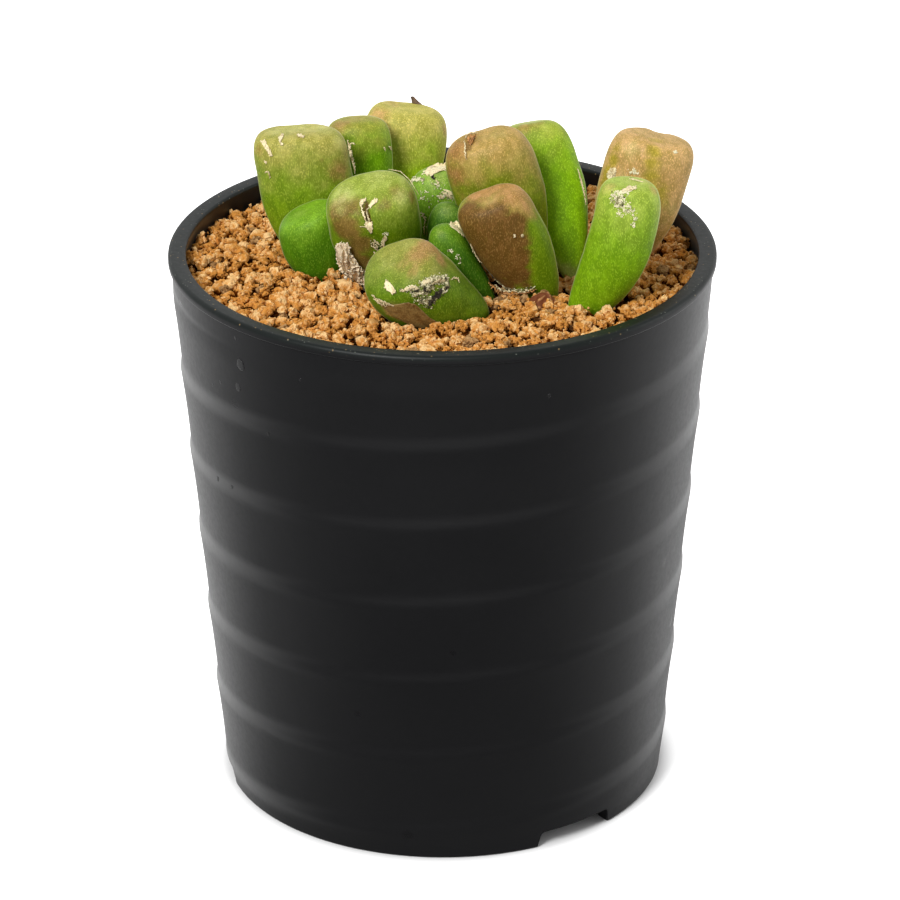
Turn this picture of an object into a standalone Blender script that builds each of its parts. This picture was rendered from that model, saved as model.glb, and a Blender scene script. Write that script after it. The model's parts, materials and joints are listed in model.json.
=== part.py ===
"""Potted conophytum: fourteen heads in clay granules, in a tall black nursery pot.

Metres, +Z up. The origin is the centre of the pot's foot, at the level that the foot stands on.
The front of the pot faces -Y. Sizes below are in millimetres and MM turns them into metres.
"""

import random
from dataclasses import dataclass
from math import asin, atan2, cos, exp, hypot, pi, radians, sin, tan

import bmesh
import bpy
from mathutils import Vector
from mathutils.geometry import delaunay_2d_cdt

MM = 0.001
FIT_GAP = 0.3

# Pot: a tapered wall with a shallow screw ridge
POT_HEIGHT = 78.4
FOOT_RADIUS = 30.85
WALL_SLOPE = 0.0815
WALL_THICKNESS = 1.6
RIM_RADIUS = 37.5
RIM_INNER_RADIUS = 35.5
RIM_DEPTH = 1.4
RIM_ROUNDING = 0.6
RIM_LIP_ROUNDING = 0.2
RIM_DOME = 0.4
POT_SEGMENTS = 48
WALL_RING_SPACING = 2.4

# Screw ridge: one start, rising anticlockwise seen from above
RIDGE_PITCH = 12.0
RIDGE_HEIGHT = 0.28
RIDGE_FRONT_LEVEL = 64.4
RIDGE_SHELF_SHARE = 0.15
RIDGE_FLANK_POWER = 1.6
RIDGE_TOP = 75.0
RIDGE_FADE = 4.0

# Foot: a ring with three notches and a raised floor with drain holes
FOOT_RING_WIDTH = 2.2
FOOT_EDGE = 0.45
FLOOR_UNDERSIDE = 2.5
FLOOR_THICKNESS = 1.4
FLOOR_CORNER = 1.5
FLOOR_EDGE = 0.3
NOTCH_ANGLES = (-53.5, 66.5, 186.5)
NOTCH_WIDTH = 12.5
NOTCH_TOP_WIDTH = 11.5
DRAIN_CENTRE_RADIUS = 4.0
DRAIN_SIDE_RADIUS = 2.5
DRAIN_SIDE_PLACE = 17.0

# Soil: granules larger than life, heaped slightly in the middle
SOIL_LEVEL = 75.3
SOIL_HEAP = 0.9
GRANULE_PITCH = 3.3
GRANULE_RELIEF = 1.4
GRANULE_JITTER = 0.5
SOIL_SEED = 7

# Heads: how deep each is sunk, and how finely it is divided
HEAD_SUNK = 4.0
HEAD_LEVEL = 76.0
HEAD_BELLY = 0.62
HEAD_BASE_FULLNESS = 2.2
HEAD_TAPER_POWER = 1.5
HEAD_CLEFT_WIDTH = 0.12


@dataclass
class Head:
    """One conophytum head. Sizes in millimetres, leans in degrees towards +X and +Y."""

    x: float
    y: float
    height: float
    width: float
    thickness: float
    lean_low: tuple
    lean_high: tuple
    taper: float
    top_fullness: float
    slope: float = 0.0
    cleft: float = 0.0
    cleft_place: float = 0.0
    divisions: int = 6
    squareness: float = 2.3


HEADS = {
    "head_left_tall": Head(
        x=-16.5, y=6.0, height=17.5, width=13.0, thickness=8.2, lean_low=(-14, 0), lean_high=(-7, 0),
        taper=0.75, top_fullness=4.6, slope=-0.1),
    "head_left_small": Head(
        x=-17.2, y=-1.5, height=9.9, width=7.4, thickness=7.4, lean_low=(-14, -6), lean_high=(-4, -6),
        taper=0.8, top_fullness=2.8, divisions=5),
    "head_back_green": Head(
        x=-11.8, y=13.0, height=15.8, width=9.2, thickness=7.0, lean_low=(2, 2), lean_high=(-2, 2),
        taper=0.7, top_fullness=4.0, divisions=5),
    "head_back_twin": Head(
        x=-8.2, y=20.5, height=15.6, width=12.0, thickness=8.5, lean_low=(22, 0), lean_high=(5, 0),
        taper=0.6, top_fullness=3.4, slope=-0.07, cleft=0.25, cleft_place=-1.2),
    "head_centre": Head(
        x=-8.8, y=-3.2, height=15.4, width=12.6, thickness=9.6, lean_low=(2, -12), lean_high=(-14, -30),
        taper=0.56, top_fullness=4.0, slope=0.09, cleft=0.15),
    "head_mossy": Head(
        x=-0.5, y=8.0, height=11.0, width=8.5, thickness=7.0, lean_low=(0, -5), lean_high=(0, -5),
        taper=0.7, top_fullness=2.6, divisions=5),
    "head_tiny": Head(
        x=0.8, y=-3.1, height=10.2, width=5.4, thickness=4.0, lean_low=(-3, 0), lean_high=(0, 0),
        taper=0.7, top_fullness=2.4, divisions=4),
    "head_leaning_small": Head(
        x=4.5, y=-9.4, height=10.6, width=5.6, thickness=5.0, lean_low=(-38, 0), lean_high=(-16, 0),
        taper=0.7, top_fullness=2.5, divisions=4),
    "head_front_low": Head(
        x=2.4, y=-16.5, height=13.4, width=11.6, thickness=10.0, lean_low=(-67, -20),
        lean_high=(-24, -30), taper=0.68, top_fullness=4.5, slope=0.1, cleft=0.15),
    "head_brown_tall": Head(
        x=10.7, y=1.2, height=20.5, width=12.3, thickness=8.2, lean_low=(-16, -8), lean_high=(-16, -9),
        taper=0.52, top_fullness=3.2, slope=0.02, cleft=0.15),
    "head_brown_front": Head(
        x=13.0, y=-8.0, height=15.8, width=10.2, thickness=7.8, lean_low=(-29, -7), lean_high=(-26, -9),
        taper=0.6, top_fullness=4.2, cleft=0.15),
    "head_green_tall": Head(
        x=17.2, y=2.0, height=19.7, width=8.9, thickness=6.2, lean_low=(-8, 34), lean_high=(-30, 14),
        taper=0.5, top_fullness=3.2, slope=-0.05),
    "head_green_curved": Head(
        x=19.8, y=-13.2, height=18.2, width=8.8, thickness=8.0, lean_low=(34, 0), lean_high=(0, 0),
        taper=0.8, top_fullness=4.6, slope=-0.08),
    "head_right_twin": Head(
        x=24.5, y=2.0, height=18.6, width=11.8, thickness=8.5, lean_low=(14, 0), lean_high=(16, 0),
        taper=0.52, top_fullness=4.8, slope=0.05, cleft=0.6, cleft_place=0.9),
}


@dataclass
class Sheath:
    """A dried leaf skin that hugs the lower side of a head, between two turns and two levels."""

    head: str
    turn_from: float
    turn_to: float
    low: float
    high: float
    thickness: float


SHEATHS = {
    "dried_sheath": Sheath(
        head="head_centre", turn_from=208, turn_to=256, low=2.7, high=6.5, thickness=0.6),
    "dried_skin_front": Sheath(
        head="head_front_low", turn_from=190, turn_to=275, low=3.4, high=7.0, thickness=0.7),
}

# Dried scraps
SHEATH_RAGGED = 0.35
SHEATH_TEETH = 3
STUB_RADIUS = 0.6
STUB_TIP_RADIUS = 0.25
STUB_LENGTH = 1.5
STUB_LEAN = -28
STUB_ACROSS = 0.7
SHRIVELLED_X = 14.0
SHRIVELLED_Y = -13.4
SHRIVELLED_RADIUS = 1.25
SHRIVELLED_HEIGHT = 2.0
SHRIVELLED_SUNK = 1.8


def smooth_step(low, high, value):
    """Rises smoothly from 0 at low to 1 at high."""
    share = min(max((value - low) / (high - low), 0.0), 1.0)
    return share * share * (3 - 2 * share)


def clear_scene():
    """Removes whatever the scene holds."""
    for item in list(bpy.data.objects):
        bpy.data.objects.remove(item, do_unlink=True)


def make_material(name, colour, roughness, metallic=0.0):
    """A plain Principled material."""
    material = bpy.data.materials.new(name)
    material.use_nodes = True
    shader = material.node_tree.nodes["Principled BSDF"]
    shader.inputs["Base Color"].default_value = (*colour, 1.0)
    shader.inputs["Roughness"].default_value = roughness
    shader.inputs["Metallic"].default_value = metallic
    return material


def make_object(name, mesh_data, material, sharp_angle=40):
    """Turns a bmesh in millimetres into an object in metres, shaded smooth."""
    bmesh.ops.scale(mesh_data, vec=(MM, MM, MM), verts=mesh_data.verts)
    mesh = bpy.data.meshes.new(name)
    mesh_data.to_mesh(mesh)
    mesh_data.free()
    if material is not None:
        mesh.materials.append(material)
    mesh.shade_smooth()
    mesh.set_sharp_from_angle(angle=radians(sharp_angle))
    item = bpy.data.objects.new(name, mesh)
    bpy.context.scene.collection.objects.link(item)
    return item


def cut_away(item, cutters, name):
    """Takes the cutters away from an object with one Boolean on their collection."""
    group = bpy.data.collections.new(name)
    bpy.context.scene.collection.children.link(group)
    for cutter in cutters:
        for holder in list(cutter.users_collection):
            holder.objects.unlink(cutter)
        group.objects.link(cutter)
        cutter.hide_render = True
        cutter.display_type = "WIRE"
    boolean = item.modifiers.new(name, "BOOLEAN")
    boolean.operation = "DIFFERENCE"
    boolean.solver = "EXACT"
    boolean.operand_type = "COLLECTION"
    boolean.collection = group


def wall_radius(level):
    """Outer radius of the pot's wall without its ridge."""
    return FOOT_RADIUS + WALL_SLOPE * level


def inner_radius(level):
    """Inner radius of the pot's wall."""
    return wall_radius(level) - WALL_THICKNESS


def ridge_height(level, turn):
    """How far the screw ridge stands out: a narrow shelf on top, then a long hollow flank below."""
    crest = RIDGE_FRONT_LEVEL + RIDGE_PITCH * (turn + pi / 2) / (2 * pi)
    below = ((crest - level) / RIDGE_PITCH) % 1.0
    flank = 1 - RIDGE_SHELF_SHARE
    if below < flank:
        shape = (1 - below / flank) ** RIDGE_FLANK_POWER
    else:
        shape = smooth_step(flank, 1.0, below)
    fade_top = smooth_step(RIDGE_TOP, RIDGE_TOP - RIDGE_FADE, level)
    fade_foot = smooth_step(0.0, RIDGE_FADE, level)
    return RIDGE_HEIGHT * shape * fade_top * fade_foot


def arc_points(centre_radius, centre_level, size, start, end, count):
    """Points on a rounding of the profile, from one angle to another, in degrees."""
    points = []
    for step in range(count + 1):
        angle = radians(start + (end - start) * step / count)
        points.append((centre_radius + size * cos(angle), centre_level + size * sin(angle)))
    return points


def pot_profile():
    """Radius and level of the pot's section, once round from the drain hole's lower edge."""
    ring_inner = wall_radius(0) - FOOT_RING_WIDTH
    floor_top = FLOOR_UNDERSIDE + FLOOR_THICKNESS
    rim_foot = POT_HEIGHT - RIM_DEPTH
    points = [(DRAIN_CENTRE_RADIUS, FLOOR_UNDERSIDE), (ring_inner / 2, FLOOR_UNDERSIDE)]
    points += [(ring_inner - FLOOR_EDGE, FLOOR_UNDERSIDE), (ring_inner, FLOOR_UNDERSIDE - FLOOR_EDGE)]
    points.append((ring_inner, 0.0))
    points += arc_points(wall_radius(0) - FOOT_EDGE, FOOT_EDGE, FOOT_EDGE, -90, 0, 2)
    rings = round((rim_foot - FLOOR_UNDERSIDE) / WALL_RING_SPACING)
    for ring in range(rings):
        level = FLOOR_UNDERSIDE + (rim_foot - FLOOR_UNDERSIDE) * ring / rings
        points.append((wall_radius(level), level))
    lip = RIM_LIP_ROUNDING
    points.append((wall_radius(rim_foot), rim_foot))
    points += arc_points(RIM_RADIUS - lip, rim_foot + 1.5 * lip, lip, -90, 0, 1)
    points += arc_points(RIM_RADIUS - RIM_ROUNDING, POT_HEIGHT - RIM_ROUNDING, RIM_ROUNDING, 0, 90, 3)
    points += arc_points(RIM_INNER_RADIUS + RIM_DOME, POT_HEIGHT - RIM_DOME * 1.2, RIM_DOME, 90, 180, 2)
    for level in (POT_HEIGHT - 2 * RIM_DEPTH, POT_HEIGHT / 2, floor_top + FLOOR_CORNER):
        points.append((inner_radius(level), level))
    points += [(inner_radius(floor_top) - FLOOR_CORNER, floor_top), (ring_inner / 2, floor_top)]
    points.append((DRAIN_CENTRE_RADIUS, floor_top))
    return points


def make_notch_cutter(number, degrees):
    """A block with sloping sides, as wide as one notch of the foot and narrower at its top."""
    block = bmesh.new()
    bmesh.ops.create_cube(block, size=1.0)
    half_base = NOTCH_WIDTH / 2
    half_top = NOTCH_TOP_WIDTH / 2
    drop = 1.0
    for vert in block.verts:
        half = half_top if vert.co.z > 0 else half_base + drop * (half_base - half_top) / FLOOR_UNDERSIDE
        across = half if vert.co.y > 0 else -half
        outward = wall_radius(0) + 2.0 if vert.co.x > 0 else wall_radius(0) - 2 * FOOT_RING_WIDTH
        level = FLOOR_UNDERSIDE - 0.05 if vert.co.z > 0 else -drop
        vert.co = Vector((outward, across, level))
    cutter = make_object(f"notch_cutter_{number}", block, None)
    cutter.rotation_euler.z = radians(degrees)
    return cutter


def make_drain_cutter(number, degrees):
    """A short round bar where one of the side drain holes goes."""
    bar = bmesh.new()
    bmesh.ops.create_cone(
        bar, cap_ends=True, segments=12, radius1=DRAIN_SIDE_RADIUS, radius2=DRAIN_SIDE_RADIUS,
        depth=FLOOR_THICKNESS + 2.0)
    cutter = make_object(f"drain_cutter_{number}", bar, None)
    turn = radians(degrees)
    middle = FLOOR_UNDERSIDE + FLOOR_THICKNESS / 2
    cutter.location = Vector((DRAIN_SIDE_PLACE * cos(turn), DRAIN_SIDE_PLACE * sin(turn), middle)) * MM
    return cutter


def make_pot():
    """The black plastic pot, turned from its profile, with its ridge, notches and drain holes."""
    body = bmesh.new()
    ring = [body.verts.new((radius, 0, level)) for radius, level in pot_profile()]
    edges = [body.edges.new((ring[place], ring[(place + 1) % len(ring)])) for place in range(len(ring))]
    bmesh.ops.spin(
        body, geom=ring + edges, cent=(0, 0, 0), axis=(0, 0, 1), angle=2 * pi, steps=POT_SEGMENTS,
        use_merge=True)
    bmesh.ops.remove_doubles(body, verts=body.verts, dist=0.001)
    bmesh.ops.recalc_face_normals(body, faces=body.faces)
    for vert in body.verts:
        radius = hypot(vert.co.x, vert.co.y)
        if radius > wall_radius(vert.co.z) - 0.3 and FOOT_EDGE < vert.co.z < RIDGE_TOP:
            grown = radius + ridge_height(vert.co.z, atan2(vert.co.y, vert.co.x))
            vert.co.x *= grown / radius
            vert.co.y *= grown / radius
    pot = make_object("pot", body, make_material("black_plastic", (0.012, 0.013, 0.014), 0.42))
    cutters = [make_notch_cutter(number, turn) for number, turn in enumerate(NOTCH_ANGLES, 1)]
    cutters += [make_drain_cutter(number, turn + 60) for number, turn in enumerate(NOTCH_ANGLES, 1)]
    cut_away(pot, cutters, "foot_cuts")
    return pot


def lean_direction(head, along):
    """Direction of a head's bent axis at a distance along it from the soil."""
    share = min(max(along / head.height, 0.0), 1.2)
    lean_x = radians(head.lean_low[0] + (head.lean_high[0] - head.lean_low[0]) * share)
    lean_y = radians(head.lean_low[1] + (head.lean_high[1] - head.lean_low[1]) * share)
    return Vector((tan(lean_x), tan(lean_y), 1.0)).normalized()


def axis_point(head, along):
    """Point on a head's bent axis, found by walking along it in short steps."""
    steps = 20
    point = Vector((head.x, head.y, HEAD_LEVEL))
    for step in range(steps):
        point += lean_direction(head, along * (step + 0.5) / steps) * (along / steps)
    return point


def head_point(head, direction, grow=0.0):
    """Point of a head's skin in a direction from its belly; grow makes the whole head larger."""
    rise = asin(min(max(direction.z, -1.0), 1.0))
    turn = atan2(direction.y, direction.x)
    upper = direction.z > 0
    fullness = head.top_fullness if upper else HEAD_BASE_FULLNESS
    ring = cos(rise) ** (2 / fullness)
    level = abs(sin(rise)) ** (2 / fullness) * (1 if upper else -1)
    total = head.height + HEAD_SUNK
    belly = total * HEAD_BELLY
    along = belly + level * (total - belly if upper else belly)
    drop = max(0.0, (belly - along) / belly)
    ring *= 1 - (1 - head.taper) * drop ** HEAD_TAPER_POWER
    power = head.squareness
    section = (abs(cos(turn)) ** power + abs(sin(turn)) ** power) ** (-1 / power)
    across = (head.width / 2 + grow) * ring * section * cos(turn)
    deep = (head.thickness / 2 + grow) * ring * section * sin(turn)
    groove = exp(-((across - head.cleft_place) / (HEAD_CLEFT_WIDTH * head.width)) ** 2)
    along -= head.cleft * groove * smooth_step(0.0, 0.9, level)
    along += head.slope * across * smooth_step(0.3, 1.0, (along - HEAD_SUNK) / head.height)
    along += grow * level - HEAD_SUNK
    tangent = lean_direction(head, along)
    side = (Vector((1, 0, 0)) - tangent * tangent.x).normalized()
    return axis_point(head, along) + side * across + tangent.cross(side) * deep


def head_mesh(head, grow=0.0):
    """A closed skin of a head: a cube with divided faces, blown up to a ball and shaped."""
    skin = bmesh.new()
    bmesh.ops.create_cube(skin, size=2.0)
    bmesh.ops.subdivide_edges(
        skin, edges=skin.edges, cuts=head.divisions - 1, use_grid_fill=True)
    for vert in skin.verts:
        even = Vector([tan(value * pi / 4) for value in vert.co])
        vert.co = head_point(head, even.normalized(), grow)
    return skin


def make_heads():
    """All heads, each in its own object."""
    colours = {
        "head_left_tall": (0.33, 0.36, 0.09),
        "head_left_small": (0.13, 0.36, 0.02),
        "head_back_green": (0.26, 0.38, 0.05),
        "head_back_twin": (0.42, 0.42, 0.09),
        "head_centre": (0.31, 0.29, 0.07),
        "head_mossy": (0.17, 0.36, 0.07),
        "head_tiny": (0.10, 0.25, 0.03),
        "head_leaning_small": (0.10, 0.26, 0.02),
        "head_front_low": (0.27, 0.30, 0.08),
        "head_brown_tall": (0.36, 0.28, 0.09),
        "head_brown_front": (0.30, 0.20, 0.07),
        "head_green_tall": (0.24, 0.48, 0.03),
        "head_green_curved": (0.30, 0.53, 0.03),
        "head_right_twin": (0.47, 0.34, 0.14),
    }
    for name, head in HEADS.items():
        make_object(name, head_mesh(head), make_material(name + "_skin", colours[name], 0.35), 80)


def make_head_cutters():
    """The holes that the heads stand in, a fit gap larger than each head and its dried skin."""
    skin_room = {sheath.head: sheath.thickness + FIT_GAP + 0.1 for sheath in SHEATHS.values()}
    cutters = []
    for name, head in HEADS.items():
        hole = head_mesh(head, FIT_GAP + skin_room.get(name, 0.0))
        cutters.append(make_object(name + "_hole", hole, None))
    return cutters


def shrivelled_mesh(grow=0.0):
    """A small wrinkled dried head: a ball squeezed by four soft ribs."""
    skin = bmesh.new()
    bmesh.ops.create_icosphere(skin, subdivisions=2, radius=1.0)
    half_height = (SHRIVELLED_HEIGHT + SHRIVELLED_SUNK) / 2
    middle = HEAD_LEVEL + SHRIVELLED_HEIGHT - half_height
    for vert in skin.verts:
        turn = atan2(vert.co.y, vert.co.x)
        rib = 1 + 0.12 * cos(4 * turn)
        radius = SHRIVELLED_RADIUS * rib + grow
        vert.co = Vector((
            SHRIVELLED_X + vert.co.x * radius,
            SHRIVELLED_Y + vert.co.y * radius,
            middle + vert.co.z * (half_height + grow)))
    return skin


def soil_level(x, y):
    """Height of the soil's surface without its granules."""
    share = hypot(x, y) / RIM_INNER_RADIUS
    return SOIL_LEVEL + SOIL_HEAP * (1 - share ** 2)


def granule_places(reach):
    """Seeded granule places on a loose triangular grid inside the pot."""
    draw = random.Random(SOIL_SEED)
    row_step = GRANULE_PITCH * sin(pi / 3)
    rows = int(reach / row_step)
    places = []
    for row in range(-rows, rows + 1):
        shift = GRANULE_PITCH / 2 * (row % 2)
        columns = int(reach / GRANULE_PITCH) + 1
        for column in range(-columns, columns + 1):
            x = column * GRANULE_PITCH + shift + draw.uniform(-GRANULE_JITTER, GRANULE_JITTER)
            y = row * row_step + draw.uniform(-GRANULE_JITTER, GRANULE_JITTER)
            if hypot(x, y) < reach:
                places.append(Vector((x, y)))
    return places


def make_sheath(name, sheath, colour):
    """A dried skin that follows its head's side at a small distance, with a ragged upper edge."""
    head = HEADS[sheath.head]
    skin = bmesh.new()
    bmesh.ops.create_grid(skin, x_segments=9, y_segments=4, size=0.5)
    belly = (head.height + HEAD_SUNK) * HEAD_BELLY
    for vert in skin.verts:
        side_share = vert.co.x + 0.5
        level_share = vert.co.y + 0.5
        ragged = 1 - SHEATH_RAGGED * abs(sin(side_share * SHEATH_TEETH * pi))
        above = sheath.low + (sheath.high - sheath.low) * level_share * ragged
        level = -(max(1 - (above + HEAD_SUNK) / belly, 0.0) ** 1.1)
        turn = radians(sheath.turn_from + (sheath.turn_to - sheath.turn_from) * side_share)
        ring = (1 - level ** 2) ** 0.5
        direction = Vector((ring * cos(turn), ring * sin(turn), level))
        vert.co = head_point(head, direction, FIT_GAP + 0.05)
    item = make_object(name, skin, make_material(name + "_paper", colour, 0.8), 60)
    thick = item.modifiers.new("thickness", "SOLIDIFY")
    thick.thickness = sheath.thickness * MM
    thick.offset = 1.0
    return item


def make_soil():
    """Clay granules as one solid: a faceted bump for each granule, and plain holes for the heads."""
    top_radius = inner_radius(SOIL_LEVEL) - FIT_GAP - 0.1
    edge_count = 48
    edge = []
    for step in range(edge_count):
        turn = 2 * pi * step / edge_count
        edge.append(Vector((top_radius * cos(turn), top_radius * sin(turn))))
    places = edge + granule_places(top_radius - GRANULE_PITCH * 0.55)
    border = [(step, (step + 1) % edge_count) for step in range(edge_count)]
    flat_points, _, faces, _, _, _ = delaunay_2d_cdt(places, border, [], 1, 0.001)
    draw = random.Random(SOIL_SEED + 1)
    soil = bmesh.new()
    verts = [soil.verts.new((point.x, point.y, 0)) for point in flat_points]
    for face in faces:
        soil.faces.new([verts[number] for number in face])
    inner_edges = [each for each in soil.edges if not each.is_boundary]
    divided = bmesh.ops.subdivide_edges(soil, edges=inner_edges, cuts=1)
    valleys = {item for item in divided["geom_inner"] if isinstance(item, bmesh.types.BMVert)}
    for vert in soil.verts:
        vert.co.z = soil_level(vert.co.x, vert.co.y)
        if vert not in valleys and not vert.is_boundary:
            vert.co.z += GRANULE_RELIEF * draw.uniform(0.7, 1.2)
    bmesh.ops.triangulate(soil, faces=soil.faces)
    rim = [each for each in soil.edges if each.is_boundary]
    sides = bmesh.ops.extrude_edge_only(soil, edges=rim)["geom"]
    lower = [item for item in sides if isinstance(item, bmesh.types.BMVert)]
    floor_top = FLOOR_UNDERSIDE + FLOOR_THICKNESS + FIT_GAP
    shrink = (inner_radius(floor_top) - FLOOR_CORNER - FIT_GAP) / top_radius
    for vert in lower:
        vert.co = Vector((vert.co.x * shrink, vert.co.y * shrink, floor_top))
    bmesh.ops.contextual_create(soil, geom=[item for item in sides if isinstance(item, bmesh.types.BMEdge)
                                            and item.verts[0] in lower and item.verts[1] in lower])
    bmesh.ops.recalc_face_normals(soil, faces=soil.faces)
    block = make_object("soil", soil, make_material("clay_granules", (0.43, 0.19, 0.06), 0.95), 20)
    holes = make_head_cutters()
    holes.append(make_object("shrivelled_hole", shrivelled_mesh(FIT_GAP), None))
    cut_away(block, holes, "plant_holes")
    return block


def make_flower_stub():
    """The dark dried end of a flower, on the top of the twin head at the back."""
    head = HEADS["head_back_twin"]
    stub = bmesh.new()
    bmesh.ops.create_cone(
        stub, cap_ends=True, segments=8, radius1=STUB_RADIUS, radius2=STUB_TIP_RADIUS, depth=STUB_LENGTH)
    item = make_object("flower_stub", stub, make_material("dried_flower", (0.09, 0.05, 0.03), 0.8))
    top = head_point(head, Vector((STUB_ACROSS / head.width, 0, 1)).normalized())
    lean = radians(STUB_LEAN)
    lift = STUB_LENGTH / 2 * cos(lean) + STUB_RADIUS * abs(sin(lean)) + FIT_GAP
    item.location = (top + Vector((0, 0, lift))) * MM
    item.rotation_euler.y = lean
    return item


def main():
    clear_scene()
    make_pot()
    make_soil()
    make_heads()
    make_sheath("dried_sheath", SHEATHS["dried_sheath"], (0.42, 0.36, 0.29))
    make_sheath("dried_skin_front", SHEATHS["dried_skin_front"], (0.22, 0.13, 0.06))
    make_flower_stub()
    dark_skin = make_material("shrivelled_skin", (0.16, 0.05, 0.03), 0.7)
    make_object("shrivelled_head", shrivelled_mesh(), dark_skin)


main()
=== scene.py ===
"""Potted conophytum: fourteen heads in clay granules in a tall black pot, on a pale floor.

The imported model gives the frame. Each solid is replaced by a finer piece of the same form, made
from the same sizes. Sizes are in millimetres until a piece is finished, where MM turns them into
metres. Small marks are placed where a line of sight through a point of the picture meets the piece.
"""

import json
import random
from dataclasses import dataclass, field
from math import asin, atan2, ceil, cos, exp, floor, hypot, pi, radians, sin, tan

import bmesh
import bpy
from mathutils import Euler, Matrix, Vector, noise
from mathutils.bvhtree import BVHTree

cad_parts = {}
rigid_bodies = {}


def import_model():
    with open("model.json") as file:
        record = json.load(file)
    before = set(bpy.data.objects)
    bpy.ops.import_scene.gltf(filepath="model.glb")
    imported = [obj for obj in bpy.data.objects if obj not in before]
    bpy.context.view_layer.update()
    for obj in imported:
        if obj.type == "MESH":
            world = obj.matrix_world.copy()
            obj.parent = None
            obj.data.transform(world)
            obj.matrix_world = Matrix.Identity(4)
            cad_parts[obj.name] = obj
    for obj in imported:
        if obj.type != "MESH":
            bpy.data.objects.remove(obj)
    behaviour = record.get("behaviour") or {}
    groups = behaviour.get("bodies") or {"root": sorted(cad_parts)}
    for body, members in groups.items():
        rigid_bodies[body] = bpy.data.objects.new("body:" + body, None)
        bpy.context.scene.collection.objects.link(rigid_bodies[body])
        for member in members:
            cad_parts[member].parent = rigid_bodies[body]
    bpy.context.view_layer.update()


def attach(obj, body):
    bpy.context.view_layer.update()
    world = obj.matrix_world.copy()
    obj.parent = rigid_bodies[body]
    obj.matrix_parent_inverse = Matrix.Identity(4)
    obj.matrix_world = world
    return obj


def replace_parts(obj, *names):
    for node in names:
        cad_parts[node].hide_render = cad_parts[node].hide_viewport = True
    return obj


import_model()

MM = 0.001
FIT_GAP = 0.3

# Picture and camera
PICTURE_SIZE = 900
CAMERA_PLACE = Vector((0.0, -631.2, 340.7))
CAMERA_PITCH = 24.90
CAMERA_YAW = 0.09
CAMERA_ROLL = -0.10
FOCAL_PIXELS = 4996.0
SENSOR_WIDTH = 36.0

# Where a line of sight misses a shape: about where to look along it, and how far and how finely
SIGHT_DISTANCE = 680.0
SIGHT_SEARCHES = ((90.0, 60), (3.0, 20))
MARK_SPACING = 1.2

# Pot
POT_HEIGHT = 78.4
FOOT_RADIUS = 30.85
WALL_SLOPE = 0.0815
WALL_THICKNESS = 1.6
RIM_RADIUS = 37.5
RIM_INNER_RADIUS = 35.0
RIM_DEPTH = 1.4
RIM_ROUNDING = 0.6
RIM_LIP_ROUNDING = 0.2
RIM_DOME = 0.4
POT_SEGMENTS = 240
POT_SHARP_ANGLE = 35
WALL_RING_SPACING = 0.7
WALL_SKIN = 0.3
FLOOR_RING_SPACING = 3.0
CUT_MARGIN = 2.0

# Screw ridge: one start, rising anticlockwise seen from above
RIDGE_PITCH = 12.0
RIDGE_HEIGHT = 0.28
RIDGE_FRONT_LEVEL = 64.4
RIDGE_SHELF_SHARE = 0.15
RIDGE_FLANK_POWER = 2.4
RIDGE_TOP = 75.0
RIDGE_FADE = 4.0
# Painted sheen on the ridge's upper side: its place below the crest, its reach and its fade below
# the ridge's top
RIDGE_SHEEN_PLACE = 0.92
RIDGE_SHEEN_REACH = 0.15
RIDGE_SHEEN_FADE = 1.0

# Foot
FOOT_RING_WIDTH = 2.2
FOOT_EDGE = 0.45
FLOOR_UNDERSIDE = 2.5
FLOOR_THICKNESS = 1.4
FLOOR_CORNER = 1.5
FLOOR_EDGE = 0.3
FOOT_INNER_EDGE = 0.15
NOTCH_ANGLES = (-53.5, 66.5, 186.5)
NOTCH_WIDTH = 12.5
NOTCH_TOP_WIDTH = 11.5
NOTCH_CORNER = 0.5
NOTCH_ROOM = 0.05
DRAIN_CENTRE_RADIUS = 4.0
DRAIN_EDGE = 0.2
DRAIN_SIDE_RADIUS = 2.5
DRAIN_SIDE_PLACE = 17.0
DRAIN_TURN = 60

# Soil, with its hollows between the heads as (x, y, reach, depth)
SOIL_LEVEL = 75.3
SOIL_HEAP = 0.9
HOLLOWS = (
    (17.0, -3.6, 3.9, 3.4), (16.2, -8.0, 2.4, 2.4), (-9.5, -9.5, 3.2, 1.5), (-2.5, -17.5, 3.6, 0.8),
    (9.0, -13.0, 2.6, 0.5), (7.5, -9.6, 2.8, 1.7))
BED_DEPTH = 1.6
BED_LUMPS = 0.45
BED_LUMP_SIZE = 1.1
BED_TINT = 0.3
BED_SEGMENTS = 120
BED_FLOOR_SPACING = 1.2
BED_WALL_SPACING = 6.0
BED_TOP_SPACING = 0.9

# Granules in two layers and the crumbs between them, with levels above the soil's surface.
# Clay is painted dark as shade at the gap level and lighter up to the top level; the lower layer's
# lower tints paint it darker as shade under the upper one.
GRANULE_SEED = 7
GRANULE_SIZES = (0.62, 1.08)
GRANULE_ROUGHNESS = (0.6, 1.05)
GRANULE_SHARP_ANGLE = 38
LOWER_PITCH = 2.0
LOWER_JITTER = 0.45
LOWER_LEVELS = (-0.25, 0.25)
LOWER_LEVEL = -1.15
LOWER_TINTS = (0.05, 0.45)
LOWER_KNOBS = 2
UPPER_PITCH = 1.75
UPPER_JITTER = 0.5
UPPER_LEVELS = (-0.5, 0.5)
UPPER_LEVEL = -0.15
UPPER_TINTS = (0.04, 1.0)
UPPER_KNOBS = 8
USUAL_SHARE = 0.8
LARGE_GRANULE = 1.15
KNOB_SIZES = (0.27, 0.48)
KNOB_RISES = (-0.2, 0.95)
KNOB_PLACE = 0.78
KNOB_ROUGHNESS = 1.5
CORE_SIZE = 0.9
CORE_ROUGHNESS = 0.8
BALL_STRETCH = (0.78, 1.18)
CRUMB_SIZES = (0.18, 0.40)
CRUMB_LEVELS = (-0.2, 0.75)
CRUMB_TINTS = (0.2, 1.0)
CRUMB_COUNT = 700
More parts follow.
